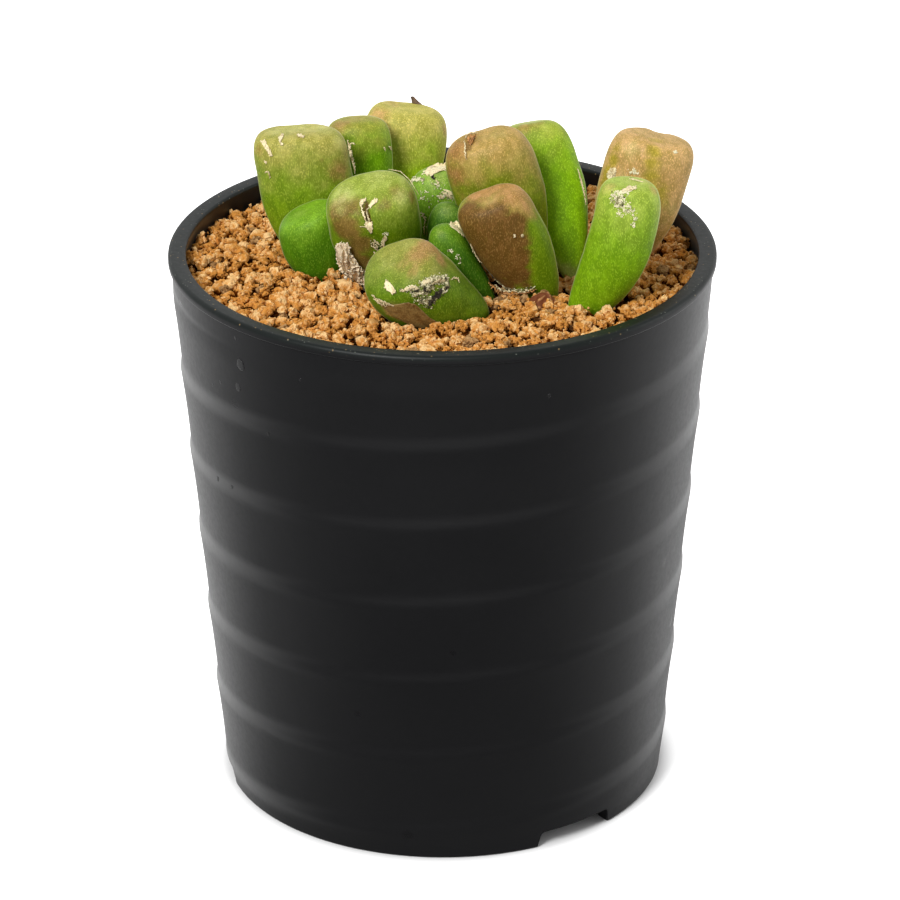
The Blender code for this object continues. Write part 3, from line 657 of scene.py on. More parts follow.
class Board:
    """A node tree with short ways to add what the finishes need. Sizes are in millimetres."""

    def __init__(self, tree):
        self.tree = tree

    def add(self, kind, **settings):
        """A new node with these settings."""
        node = self.tree.nodes.new(kind)
        for name, value in settings.items():
            setattr(node, name, value)
        return node

    def feed(self, socket, value):
        """Links a socket to another one, or sets its own value."""
        if isinstance(value, bpy.types.NodeSocket):
            self.tree.links.new(value, socket)
        elif isinstance(value, tuple) and len(value) == 3 and socket.type == "RGBA":
            socket.default_value = (*value, 1.0)
        else:
            socket.default_value = value

    def fill(self, node, **values):
        """Feeds a node's inputs by their names, with an underscore for each space."""
        for name, value in values.items():
            self.feed(node.inputs[name.replace("_", " ")], value)
        return node

    def place(self, stretch=None, turn=(0, 0, 0)):
        """Object coordinates, stretched and turned where a pattern needs it."""
        source = self.add("ShaderNodeTexCoord").outputs["Object"]
        if stretch is None:
            return source
        mapping = self.add("ShaderNodeMapping")
        return self.fill(mapping, Vector=source, Scale=stretch, Rotation=turn).outputs["Vector"]

    def axes(self, where):
        """The three coordinates of a place."""
        node = self.add("ShaderNodeSeparateXYZ")
        self.feed(node.inputs[0], where)
        return node.outputs

    def cloudy(self, where, size, detail=2.0, rough=0.5, warp=0.0):
        """Noise from 0 to 1 with lumps of about this size."""
        node = self.add("ShaderNodeTexNoise")
        self.fill(node, Vector=where, Scale=1 / (size * MM), Detail=detail, Roughness=rough,
                  Distortion=warp)
        return node.outputs[0]

    def cells(self, where, size):
        """Distance from the centres of cells of about this size, and two random numbers a cell."""
        node = self.fill(self.add("ShaderNodeTexVoronoi"), Vector=where, Scale=1 / (size * MM))
        numbers = self.add("ShaderNodeSeparateColor")
        self.fill(numbers, Color=node.outputs["Color"])
        return node.outputs["Distance"], numbers.outputs["Red"], numbers.outputs["Green"]

    def ramp(self, value, low, high, start=0.0, end=1.0):
        """A smooth step between two values."""
        node = self.add("ShaderNodeMapRange", interpolation_type="SMOOTHSTEP")
        self.fill(node, Value=value, From_Min=low, From_Max=high, To_Min=start, To_Max=end)
        return node.outputs["Result"]

    def math(self, operation, first, second):
        """One step of arithmetic."""
        node = self.add("ShaderNodeMath", operation=operation)
        self.feed(node.inputs[0], first)
        self.feed(node.inputs[1], second)
        return node.outputs[0]

    def plus(self, first, second):
        """Both values together."""
        return self.math("ADD", first, second)

    def minus(self, first, second):
        """The first value less the second."""
        return self.math("SUBTRACT", first, second)

    def times(self, first, second):
        """One value times the other."""
        return self.math("MULTIPLY", first, second)

    def shifted(self, value, wave, amount):
        """A value moved up and down by a wave about the wave's middle."""
        return self.plus(value, self.times(self.minus(wave, 0.5), amount))

    def blend(self, share, first, second, mode="MIX"):
        """A mix of two colours."""
        node = self.add("ShaderNodeMix", data_type="RGBA", blend_type=mode)
        self.feed(node.inputs[0], share)
        self.feed(node.inputs[6], first)
        self.feed(node.inputs[7], second)
        return node.outputs[2]

    def painted(self, name):
        """A value painted on the piece's own points."""
        return self.add("ShaderNodeAttribute", attribute_name=name).outputs["Fac"]

    def facing(self):
        """How far the surface turns away from the eye, from 0 to 1."""
        return self.fill(self.add("ShaderNodeLayerWeight"), Blend=0.5).outputs["Facing"]

    def seen(self):
        """1 where the camera itself looks, and 0 for light that bounces."""
        return self.add("ShaderNodeLightPath").outputs["Is Camera Ray"]

    def relief(self, height, depth, strength, base=None):
        """A bumped normal whose full height is this many millimetres."""
        node = self.add("ShaderNodeBump")
        self.fill(node, Strength=strength, Distance=depth * MM, Height=height)
        if base is not None:
            self.feed(node.inputs["Normal"], base)
        return node.outputs["Normal"]

    def grouped(self, group, **values):
        """The outputs of a shared effect with its own values."""
        return self.fill(self.add("ShaderNodeGroup", node_tree=group), **values).outputs


class Effect(Board):
    """The board of a shared effect: a node group with named inputs and outputs."""

    def __init__(self, name, inputs, outputs):
        self.group = bpy.data.node_groups.new(name, "ShaderNodeTree")
        for way, sockets in (("INPUT", inputs), ("OUTPUT", outputs)):
            for label, kind in sockets.items():
                self.group.interface.new_socket(label, in_out=way, socket_type="NodeSocket" + kind)
        super().__init__(self.group)
        self.given = self.add("NodeGroupInput").outputs

    def give(self, **values):
        """Feeds the effect's outputs. Returns its node group."""
        self.fill(self.add("NodeGroupOutput"), **values)
        return self.group


class Finish(Board):
    """The board of a material with one Principled shader."""

    def __init__(self, name):
        self.material = bpy.data.materials.new(name)
        self.material.use_nodes = True
        super().__init__(self.material.node_tree)

    def dress(self, **values):
        """Feeds the shader. Returns the material."""
        self.fill(self.tree.nodes["Principled BSDF"], **values)
        return self.material


# Shared effects

def make_mottle_effect():
    """Fine pale dots and soft clouds under a smooth skin."""
    board = Effect("skin_mottle", {"Colour": "Color", "Dots": "Float", "Clouds": "Float"},
                   {"Colour": "Color", "Relief": "Float"})
    skin = board.given["Colour"]
    dots = board.cloudy(board.place(stretch=(1.0, 1.0, 0.42)), size=0.145, detail=1.0)
    clouds = board.cloudy(
        board.place(stretch=(1.0, 1.0, 0.6)), size=1.3, detail=3.0, rough=0.6, warp=0.4)
    dark = board.blend(1.0, skin, MOTTLE_SHADE, "MULTIPLY")
    light = board.blend(0.09, board.blend(1.0, skin, MOTTLE_GAIN, "MULTIPLY"), MOTTLE_YELLOW)
    cloud_share = board.times(board.ramp(clouds, 0.38, 0.66), board.given["Clouds"])
    dot_share = board.times(board.ramp(dots, 0.50, 0.70), board.given["Dots"])
    gap_share = board.times(board.ramp(dots, 0.46, 0.30, 0.0, 0.6), board.given["Dots"])
    dotted = board.blend(dot_share, board.blend(cloud_share, dark, skin), light)
    return board.give(Colour=board.blend(gap_share, dotted, dark), Relief=dots)


def make_speck_effect():
    """Sparse small specks, such as dust, as a mask."""
    board = Effect("dust_specks", {"Reach": "Float", "Share": "Float", "Where": "Vector"},
                   {"Mask": "Float"})
    here = board.given["Where"]
    distance, chance, _ = board.cells(here, 1.3)
    ragged = board.plus(distance, board.times(board.cloudy(here, size=0.12, detail=1.0), 0.1))
    speck = board.ramp(board.ramp(ragged, board.given["Reach"], 0.0), 0.15, 0.45)
    chosen = board.math("LESS_THAN", chance, board.given["Share"])
    return board.give(Mask=board.times(speck, chosen))


def make_crumb_effect():
    """Crumbly fired clay: lumps, pits and a colour from dark brown to gold, or now and then grey;
    the dark is partly painted shade in gaps and hollows and the gold partly a painted highlight.
    """
    board = Effect(
        "clay_crumb",
        {"Tint": "Float", "Lumps": "Float", "Dark": "Color", "Body": "Color", "Light": "Color"},
        {"Colour": "Color", "Relief": "Float"})
    given = board.given
    here = board.place()
    lumps = board.cloudy(here, size=0.5, detail=3.0, rough=0.65, warp=0.3)
    grains = board.cloudy(here, size=0.21, rough=0.6, warp=0.4)
    height = board.plus(board.times(lumps, 0.45), board.times(grains, 0.55))
    # Painted shade and highlight: the colour follows the relief and the painted light values, dark
    # where low and light where high
    cover = board.plus(board.times(height, 0.55), board.times(given["Lumps"], 0.60))
    level = board.shifted(cover, given["Tint"], 0.20)
    low_colour = board.blend(board.ramp(level, 0.43, 0.62), given["Dark"], given["Body"])
    colour = board.blend(board.ramp(level, 0.64, 0.89), low_colour, given["Light"])
    grey = board.blend(board.ramp(level, 0.40, 0.72), *GREY_CLAY_TONES)
    odd = board.math("LESS_THAN", given["Tint"], GREY_TINT)
    return board.give(
        Colour=board.blend(odd, colour, board.blend(0.75, colour, grey)), Relief=height)


def make_paper_effect():
    """Dried thin skin: long fibres and stains."""
    board = Effect("dried_fibres", {"Light": "Color", "Dark": "Color", "Stains": "Float"},
                   {"Colour": "Color", "Relief": "Float"})
    fibres = board.cloudy(
        board.place(stretch=(1.0, 1.0, 0.3)), size=0.16, detail=3.0, rough=0.6, warp=0.5)
    stains = board.cloudy(board.place(), size=0.9, detail=3.0, rough=0.6, warp=0.6)
    share = board.plus(board.times(fibres, 0.5), board.times(stains, 0.5))
    level = board.shifted(share, board.given["Stains"], -0.3)
    colour = board.blend(board.ramp(level, 0.36, 0.58), board.given["Dark"], board.given["Light"])
    return board.give(Colour=colour, Relief=fibres)


MOTTLE = make_mottle_effect()
SPECKS = make_speck_effect()
CRUMB = make_crumb_effect()
FIBRES = make_paper_effect()


# Finishes

def skin_finish(name, look):
    """A plump leaf skin: green flank, riper crown, blushes, pale places that are partly painted
    highlights, dots, dust and a painted rim light.
    """
    board = Finish(name)
    here = board.place()
    drift = board.cloudy(here, size=3.2, warp=0.3)
    patchy = board.cloudy(here, size=1.1, detail=3.0, rough=0.6, warp=0.5)
    level = board.shifted(board.painted("rise"), drift, 0.5)
    colour = board.blend(board.ramp(level, look.crown_from, look.crown_to), look.flank, look.crown)
    blush = board.ramp(board.shifted(board.painted("blush"), patchy, 0.7), 0.15, 0.85)
    colour = board.blend(blush, colour, look.blush)
    # Pale marks: partly pale skin, partly painted highlights and painted light where the flank lies
    # in shade
    pale = board.ramp(board.shifted(board.painted("pale"), patchy, 0.7), 0.1, 1.1)
    colour = board.blend(pale, colour, board.blend(0.5, colour, PALE_SKIN_AND_HIGHLIGHT))
    colour = board.blend(board.ramp(board.painted("scar"), 0.1, 0.9), colour, SCAR_BROWN)
    mottle = board.grouped(MOTTLE, Colour=colour, Dots=0.7, Clouds=0.6)
    # Painted rim light: the skin turns pale where it turns away from the eye
    edge = board.ramp(board.facing(), 0.72, 1.0, 0.0, 0.45)
    colour = board.blend(edge, mottle["Colour"], PAINTED_RIM_LIGHT)
    specks = board.grouped(SPECKS, Where=here, Reach=0.12, Share=look.dust)["Mask"]
    height = board.plus(mottle["Relief"], board.times(specks, 1.5))
    return board.dress(
        Base_Color=board.blend(specks, colour, SKIN_DUST),
        Roughness=board.ramp(patchy, 0.2, 0.8, 0.46, 0.58),
        Normal=board.relief(height, 0.05, 0.5),
        Specular_IOR_Level=0.16,
        Subsurface_Weight=0.2,
        Subsurface_Radius=(1.0, 0.8, 0.2),
        Subsurface_Scale=1.1 * MM)


def round_spots(board, here):
    """Dried drops as a mask: round spots of different sizes in some of the cells."""
    distance, chance, share = board.cells(here, 7.5)
    ragged = board.plus(distance, board.times(board.cloudy(here, size=1.2), 0.09))
    size = board.times(share, 0.16)
    spot = board.ramp(ragged, board.plus(size, 0.035), size)
    return board.times(spot, board.math("LESS_THAN", chance, 0.42))


def pot_finish():
    """Black satin plastic with dried drops, faint scuffs, grit on the rim, a little dust and a
    painted sheen.
    """
    board = Finish("black_plastic")
    here = board.place()
    cloud = board.cloudy(here, size=14.0, detail=3.0, warp=0.4)
    fine = board.cloudy(here, size=0.7, detail=3.0, rough=0.6)
    spot = round_spots(board, here)
    scratched = board.place(stretch=(1.0, 1.0, 3.0), turn=(0.5, 0.3, 0.2))
    scratch = board.cloudy(scratched, size=2.6, detail=6.0, rough=0.72, warp=2.2)
    scuff = board.times(board.ramp(scratch, 0.66, 0.78), board.ramp(cloud, 0.45, 0.7))
    specks = board.grouped(SPECKS, Where=here, Reach=0.10, Share=0.05)["Mask"]
    top = board.ramp(board.axes(here)["Z"], (POT_HEIGHT - 0.9) * MM, (POT_HEIGHT - 0.3) * MM)
    colour = board.blend(cloud, *PLASTIC_TONES)
    for mask, share, tone in (
            (spot, 0.7, SPOT_BLACK), (scuff, 0.35, SCUFF_GREY), (specks, 0.5, POT_DUST),
            (top, 1.0, RIM_BLACK)):
        colour = board.blend(board.times(mask, share), colour, tone)
    for stretch, tone in GRIT_TONES:
        grit = board.grouped(
            SPECKS, Where=board.place(stretch=(stretch,) * 3), Reach=0.26, Share=0.6)["Mask"]
        colour = board.blend(board.times(grit, board.times(top, 0.55)), colour, tone)
    # Painted sheen: the wall turns grey towards its outline, more on the ridge's upper side, where
    # the "dust" values mark this painted sheen
    facing = board.facing()
    grazing_sheen = board.times(board.ramp(facing, 0.45, 0.95, 0.0, 0.2), board.minus(1.0, top))
    dust = board.times(board.painted("dust"), board.ramp(facing, 0.2, 1.0, 0.0, 0.65))
    colour = board.blend(board.plus(grazing_sheen, dust), colour, PAINTED_SHEEN_GREY)
    rough = board.ramp(fine, 0.25, 0.75, 0.30, 0.38)
    for mask, change in ((spot, -0.08), (top, 0.12), (scuff, 0.2)):
        rough = board.plus(rough, board.times(mask, change))
    wave = board.relief(board.cloudy(here, size=5.0), 0.05, 0.6)
    height = board.minus(fine, board.times(spot, 0.6))
    return board.dress(
        Base_Color=colour, Roughness=rough, Normal=board.relief(height, 0.012, 0.5, wave),
        Specular_IOR_Level=0.22)


def drop_finish():
    """The same black plastic, shinier, for the dried drops that stand out from the wall."""
    board = Finish("dried_drop")
    cloud = board.cloudy(board.place(), size=0.4)
    return board.dress(
        Base_Color=board.blend(cloud, *DROP_TONES),
        Roughness=board.ramp(cloud, 0.3, 0.7, 0.16, 0.34),
        Specular_IOR_Level=0.4)


def clay_finish(name, tones, depth):
    """Crumbly clay for granules, crumbs and the bed under them."""
    board = Finish(name)
    dark, body, light = tones
    # The "lumps" values carry the clay's painted shade and light
    crumb = board.grouped(
        CRUMB, Tint=board.painted("tint"), Lumps=board.painted("lumps"), Dark=dark, Body=body,
        Light=light)
    return board.dress(
        Base_Color=crumb["Colour"],
        Roughness=board.ramp(crumb["Relief"], 0.2, 0.8, 0.95, 0.8),
        Normal=board.relief(crumb["Relief"], depth, 0.9),
        Specular_IOR_Level=0.0)


def paper_finish(name, light, dark, stains, rough=0.75):
    """Dried skin of one tone."""
    board = Finish(name)
    fibres = board.grouped(FIBRES, Light=light, Dark=dark, Stains=stains)
    return board.dress(
        Base_Color=fibres["Colour"],
        Roughness=board.ramp(fibres["Relief"], 0.2, 0.8, rough, rough - 0.2),
        Normal=board.relief(fibres["Relief"], 0.08, 0.7))


def crust_finish():
    """Chalky crust whose grains run from cream to grey and nearly black; the darkest grains stand
    partly for shade between the crumbs.
    """
    board = Finish("pale_crust")
    grain = board.cloudy(board.place(), size=0.2, detail=3.0, rough=0.6)
    tint = board.shifted(board.painted("tint"), grain, 0.5)
    dark = board.blend(board.ramp(tint, 0.05, 0.35), CRUST_BLACK, CRUST_GREY)
    return board.dress(
        Base_Color=board.blend(board.ramp(tint, 0.35, 0.8), dark, CRUST_CREAM),
        Roughness=board.ramp(grain, 0.2, 0.8, 0.95, 0.75),
        Normal=board.relief(grain, 0.06, 0.8))


def dead_head_finish():
    """A dark red dried skin with lighter, orange edges."""
    board = Finish("dead_head_skin")
    fine = board.cloudy(
        board.place(stretch=(1, 1, 0.4)), size=0.2, detail=3.0, rough=0.6, warp=0.6)
    edge = board.ramp(board.shifted(board.painted("tint"), fine, 0.6), 0.25, 0.85)
    return board.dress(
        Base_Color=board.blend(edge, *DEAD_HEAD_TONES),
        Roughness=board.ramp(fine, 0.2, 0.8, 0.5, 0.7),
        Normal=board.relief(fine, 0.12, 0.7),
        Specular_IOR_Level=0.2)


# Making pieces

def finish_piece(name, shape, material, sharp_angle=None):
    """Turns a shape in millimetres into a piece in metres that rides on the pot's body."""
    bmesh.ops.scale(shape, vec=(MM, MM, MM), verts=shape.verts)
    mesh = mesh_of(shape, name)
    mesh.materials.append(material)
    mesh.shade_smooth()
    if sharp_angle is not None:
        mesh.set_sharp_from_angle(angle=radians(sharp_angle))
    piece = put(name, mesh)
    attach(piece, "root")
    return piece


def wall_radius(level):
    """Outer radius of the pot's wall without its ridge."""
    return FOOT_RADIUS + WALL_SLOPE * level


def inner_radius(level):
    """Inner radius of the pot's wall."""
    return wall_radius(level) - WALL_THICKNESS


def below_crest(level, turn):
    """How far a point of the wall lies under the ridge's crest above it, in pitches."""
    crest = RIDGE_FRONT_LEVEL + RIDGE_PITCH * (turn + pi / 2) / (2 * pi)
    return ((crest - level) / RIDGE_PITCH) % 1.0


def ridge_height(level, turn):
    """How far the screw ridge stands out: a narrow shelf on top, then a long hollow flank below."""
    below = below_crest(level, turn)
    flank = 1 - RIDGE_SHELF_SHARE
    if below < flank:
        shape = (1 - below / flank) ** RIDGE_FLANK_POWER
    else:
        shape = smooth_step(flank, 1.0, below)
    fade_top = smooth_step(RIDGE_TOP, RIDGE_TOP - RIDGE_FADE, level)
    fade_foot = smooth_step(0.0, RIDGE_FADE, level)
    return RIDGE_HEIGHT * shape * fade_top * fade_foot


def ridge_sheen(level, turn):
    """How much painted sheen the ridge's upper side takes, from 0 to 1."""
    apart = abs((below_crest(level, turn) - RIDGE_SHEEN_PLACE + 0.5) % 1.0 - 0.5)
    fade_top = smooth_step(RIDGE_TOP, RIDGE_TOP - RIDGE_SHEEN_FADE, level)
    return smooth_step(RIDGE_SHEEN_REACH, 0.0, apart) * fade_top


def arc_points(centre_radius, centre_level, size, start, end, count):
    """Points on a rounding of the profile, from one angle to another, in degrees."""
    points = []
    for step in range(count + 1):
        angle = radians(mixed(start, end, step / count))
        points.append((centre_radius + size * cos(angle), centre_level + size * sin(angle)))
    return points


def straight_points(start, end, spacing):
    """Points along a straight part of the profile, without its two ends."""
    count = max(ceil(hypot(end[0] - start[0], end[1] - start[1]) / spacing), 1)
    return [(mixed(start[0], end[0], step / count), mixed(start[1], end[1], step / count))
            for step in range(1, count)]


def pot_profile():
    """Radius and level of the pot's section, once round from the drain hole's lower edge."""
    ring_inner = wall_radius(0) - FOOT_RING_WIDTH
    floor_top = FLOOR_UNDERSIDE + FLOOR_THICKNESS
    rim_foot = POT_HEIGHT - RIM_DEPTH
    points = [(DRAIN_CENTRE_RADIUS, FLOOR_UNDERSIDE + DRAIN_EDGE),
              (DRAIN_CENTRE_RADIUS + DRAIN_EDGE, FLOOR_UNDERSIDE)]
    floor_edge = (ring_inner - FLOOR_EDGE, FLOOR_UNDERSIDE)
    points += straight_points(points[-1], floor_edge, FLOOR_RING_SPACING)
    points += arc_points(
        ring_inner - FLOOR_EDGE, FLOOR_UNDERSIDE - FLOOR_EDGE, FLOOR_EDGE, 90, 0, 3)
    points += [(ring_inner, FOOT_INNER_EDGE), (ring_inner + FOOT_INNER_EDGE, 0.0)]
    points += arc_points(wall_radius(0) - FOOT_EDGE, FOOT_EDGE, FOOT_EDGE, -90, 0, 5)
    top_of_wall = (wall_radius(rim_foot), rim_foot)
    points += straight_points(points[-1], top_of_wall, WALL_RING_SPACING)
    points.append(top_of_wall)
    lip = RIM_LIP_ROUNDING
    points += arc_points(RIM_RADIUS - lip, rim_foot + 1.5 * lip, lip, -90, 0, 3)
    points += arc_points(
        RIM_RADIUS - RIM_ROUNDING, POT_HEIGHT - RIM_ROUNDING, RIM_ROUNDING, 0, 90, 6)
    points += arc_points(
        RIM_INNER_RADIUS + RIM_DOME, POT_HEIGHT - RIM_DOME * 1.2, RIM_DOME, 90, 180, 5)
    points.append((inner_radius(POT_HEIGHT - 2 * RIM_DEPTH), POT_HEIGHT - 2 * RIM_DEPTH))
    wall_foot = (inner_radius(floor_top + FLOOR_CORNER), floor_top + FLOOR_CORNER)
    points += straight_points(points[-1], wall_foot, FLOOR_RING_SPACING)
    points += arc_points(wall_foot[0] - FLOOR_CORNER, wall_foot[1], FLOOR_CORNER, 0, -90, 4)
    points += straight_points(points[-1], (DRAIN_CENTRE_RADIUS, floor_top), FLOOR_RING_SPACING)
    points.append((DRAIN_CENTRE_RADIUS, floor_top))
    return points


def spun(points, steps):
    """A solid of revolution from a closed section, with its poles closed."""
    body = bmesh.new()
    ring = [body.verts.new((radius, 0, level)) for radius, level in points]
    edges = [body.edges.new(ends) for ends in zip(ring, ring[1:] + ring[:1])]
    bmesh.ops.spin(
        body, geom=ring + edges, cent=(0, 0, 0), axis=(0, 0, 1), angle=2 * pi, steps=steps,
        use_merge=True)
    bmesh.ops.remove_doubles(body, verts=body.verts, dist=0.001)
    bmesh.ops.recalc_face_normals(body, faces=body.faces)
    return body


def notch_cutter(degrees):
    """A block with sloping sides and rounded upper corners, as wide as one notch of the foot."""
    block = bmesh.new()
    bmesh.ops.create_cube(block, size=1.0)
    half_base = NOTCH_WIDTH / 2
    half_top = NOTCH_TOP_WIDTH / 2
    drop = 1.0
    half_below = half_base + drop * (half_base - half_top) / FLOOR_UNDERSIDE
    for vert in block.verts:
        half = half_top if vert.co.z > 0 else half_below
        across = half if vert.co.y > 0 else -half
        outward = CUT_MARGIN if vert.co.x > 0 else -2 * FOOT_RING_WIDTH
        level = FLOOR_UNDERSIDE - NOTCH_ROOM if vert.co.z > 0 else -drop
        vert.co = Vector((wall_radius(0) + outward, across, level))
    corners = [edge for edge in block.edges
               if all(vert.co.z > 0 for vert in edge.verts)
               and edge.verts[0].co.y * edge.verts[1].co.y > 0]
    bmesh.ops.bevel(
        block, geom=corners, offset=NOTCH_CORNER, segments=4, profile=0.5, affect="EDGES",
        material=-1)
    bmesh.ops.rotate(block, cent=(0, 0, 0), matrix=Matrix.Rotation(radians(degrees), 3, "Z"),
                     verts=block.verts)
    return block


def drain_cutter(degrees):
    """A round bar where one of the side drain holes goes."""
    bar = bmesh.new()
    bmesh.ops.create_cone(
        bar, cap_ends=True, segments=40, radius1=DRAIN_SIDE_RADIUS, radius2=DRAIN_SIDE_RADIUS,
        depth=FLOOR_THICKNESS + CUT_MARGIN)
    turn = radians(degrees)
    middle = FLOOR_UNDERSIDE + FLOOR_THICKNESS / 2
    place = Vector((DRAIN_SIDE_PLACE * cos(turn), DRAIN_SIDE_PLACE * sin(turn), middle))
    bmesh.ops.translate(bar, vec=place, verts=bar.verts)
    return bar


def cut_with(shape, cutters):
    """A shape with other shapes cut out of it."""
    uncut = put("uncut", mesh_of(shape, "uncut"))
    group = bpy.data.collections.new("cutters")
    for cutter in cutters:
        group.objects.link(bpy.data.objects.new("cutter", mesh_of(cutter, "cutter")))
    bpy.context.scene.collection.children.link(group)
    boolean = uncut.modifiers.new("cut", "BOOLEAN")
    boolean.operation = "DIFFERENCE"
    boolean.solver = "EXACT"
    boolean.operand_type = "COLLECTION"
    boolean.collection = group
    bpy.context.view_layer.update()
    evaluated = uncut.evaluated_get(bpy.context.evaluated_depsgraph_get())
    result = bmesh.new()
    result.from_mesh(evaluated.to_mesh())
    evaluated.to_mesh_clear()
    for item in [uncut, *group.objects]:
        bpy.data.objects.remove(item, do_unlink=True)
    bpy.data.collections.remove(group)
    return result


def make_pot():
    """The black plastic pot with its ridge, notches and drain holes."""
    body = spun(pot_profile(), POT_SEGMENTS)
    for vert in body.verts:
        radius = hypot(vert.co.x, vert.co.y)
        outside = radius > wall_radius(vert.co.z) - WALL_SKIN
        if outside and FOOT_EDGE < vert.co.z < RIDGE_TOP:
            grown = radius + ridge_height(vert.co.z, atan2(vert.co.y, vert.co.x))
            vert.co.x *= grown / radius
            vert.co.y *= grown / radius
    cutters = [notch_cutter(turn) for turn in NOTCH_ANGLES]
    cutters += [drain_cutter(turn + DRAIN_TURN) for turn in NOTCH_ANGLES]
    body = cut_with(body, cutters)
    make_water_marks(BVHTree.FromBMesh(body))
    # The "dust" layer holds the painted sheen on the ridge's upper side
    sheen_layer = body.verts.layers.float.new("dust")
    for vert in body.verts:
        vert[sheen_layer] = ridge_sheen(vert.co.z, atan2(vert.co.y, vert.co.x))
    pot = finish_piece("pot_fine", body, pot_finish(), POT_SHARP_ANGLE)
    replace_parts(pot, "pot")


class Spine:
    """A head's bent axis, walked once and then read at any distance from the soil."""

    def __init__(self, head):
        self.head = head
        below = HEAD_SUNK + SPINE_MARGIN
        self.step = (head.height * SPINE_REACH + SPINE_MARGIN + below) / SPINE_STEPS
        steps_below = round(below / self.step)
        self.start = -steps_below * self.step
        downward = self.walked(steps_below, -self.step)
        self.points = downward[:0:-1] + self.walked(SPINE_STEPS, self.step)

    def walked(self, count, step):
        """Points on the axis at even steps from the soil."""
        point = Vector((self.head.x, self.head.y, HEAD_LEVEL))
        points = [point.copy()]
        for number in range(count):
            point += self.direction((number + 0.5) * step) * step
            points.append(point.copy())
        return points

    def direction(self, along):
        """Direction of the axis at a distance along it from the soil."""
        head = self.head
        share = clamped(along / head.height, 0.0, LEAN_REACH)
        lean_x = radians(mixed(head.lean_low[0], head.lean_high[0], share))
        lean_y = radians(mixed(head.lean_low[1], head.lean_high[1], share))
        return Vector((tan(lean_x), tan(lean_y), 1.0)).normalized()

    def point(self, along):
        """Point on the axis at a distance along it from the soil."""
        place = (along - self.start) / self.step
        number = clamped(floor(place), 0, len(self.points) - 2)
        return self.points[number].lerp(self.points[number + 1], place - number)


def head_point(head, spine, direction):
    """Point of a head's skin in a direction from its belly."""
    rise = asin(clamped(direction.z, -1.0, 1.0))
    turn = atan2(direction.y, direction.x)
    upper = direction.z > 0
    fullness = head.top_fullness if upper else HEAD_BASE_FULLNESS
    ring = cos(rise) ** (2 / fullness)
    level = abs(sin(rise)) ** (2 / fullness) * (1 if upper else -1)
    total = head.height + HEAD_SUNK
    belly = total * HEAD_BELLY
    along = belly + level * (total - belly if upper else belly)
    drop = max(0.0, (belly - along) / belly)
    ring *= 1 - (1 - head.taper) * drop ** HEAD_TAPER_POWER
    power = head.squareness
    section = (abs(cos(turn)) ** power + abs(sin(turn)) ** power) ** (-1 / power)
    across = head.width / 2 * ring * section * cos(turn)
    deep = head.thickness / 2 * ring * section * sin(turn)
    groove = exp(-((across - head.cleft_place) / (HEAD_CLEFT_WIDTH * head.width)) ** 2)
    along -= head.cleft * groove * smooth_step(0.0, HEAD_CLEFT_FULL, level)
    rise_share = (along - HEAD_SUNK) / head.height
    along += head.slope * across * smooth_step(HEAD_SLOPE_FROM, 1.0, rise_share)
    along -= HEAD_SUNK
    tangent = spine.direction(along)
    side = (Vector((1, 0, 0)) - tangent * tangent.x).normalized()
    return spine.point(along) + side * across + tangent.cross(side) * deep


def head_shape(head):
    """A closed skin of a head: a cube with divided faces, blown up to a ball and shaped."""
    spine = Spine(head)
    skin = bmesh.new()
    bmesh.ops.create_cube(skin, size=2.0)
    bmesh.ops.subdivide_edges(
        skin, edges=skin.edges, cuts=HEAD_DIVISIONS - 1, use_grid_fill=True)
    for vert in skin.verts:
        even = Vector([tan(value * pi / 4) for value in vert.co])
        vert.co = head_point(head, spine, even.normalized())
    return skin


def seen_point(tree, picture_x, picture_y, on_sight=False):
    """Point and normal where a line of sight through a picture point meets a shape.

    Where it misses the shape, the point is the nearest one on the shape, or on the line if asked.
    """
    sight = sight_line(picture_x, picture_y)
    place, normal, _, _ = tree.ray_cast(CAMERA_PLACE, sight)
    if place is not None:
        return place, normal
    middle = SIGHT_DISTANCE
    for span, steps in SIGHT_SEARCHES:
        tries = []
        for step in range(steps + 1):
            along = middle + span * (2 * step / steps - 1)
            guess = CAMERA_PLACE + sight * along
            found, normal, _, distance = tree.find_nearest(guess)
            tries.append((distance, along, guess, found, normal))
        _, middle, guess, found, normal = min(tries, key=lambda item: item[0])
    return (guess if on_sight else found), normal


HEAD_TREES = {}


def paint_marks(skin, layer, tree, marks):
    """Paints soft round marks on a skin's points."""
    centres = [(seen_point(tree, mark[0], mark[1])[0], mark[2], mark[3]) for mark in marks]
    for vert in skin.verts:
        value = 0.0
        for centre, reach, strength in centres:
            distance = (vert.co - centre).length / (reach * MARK_REACH)
            if distance < 1:
                value = max(value, strength * (1 - distance * distance) ** 2)
        vert[layer] = value


def line_on(tree, corners, spacing=MARK_SPACING, on_sight=False):
    """Points and normals where a line drawn over the picture falls on a shape, at even steps."""
    found = []
    for start, end in zip(corners, corners[1:]):
        steps = max(round(hypot(end[0] - start[0], end[1] - start[1]) / spacing), 1)
        for step in range(steps + (end == corners[-1])):
            share = step / steps
            place_x = mixed(start[0], end[0], share)
            place_y = mixed(start[1], end[1], share)
            found.append(seen_point(tree, place_x, place_y, on_sight))
    return found


def carve(skin, layer, tree, carves):
    """Presses narrow grooves into a skin and stains their inside."""
    for corners, width, depth, stain in carves:
        centres = [place for place, _ in line_on(tree, corners)]
        for vert in skin.verts:
            apart = min((vert.co - centre).length for centre in centres)
            if apart < width * CARVE_REACH:
                share = exp(-(apart / width) ** 2)
                stained = stain * exp(-(apart / (width * CARVE_STAIN_WIDTH)) ** 4)
                vert[layer] = max(vert[layer], stained)
                vert.co -= vert.normal * depth * share


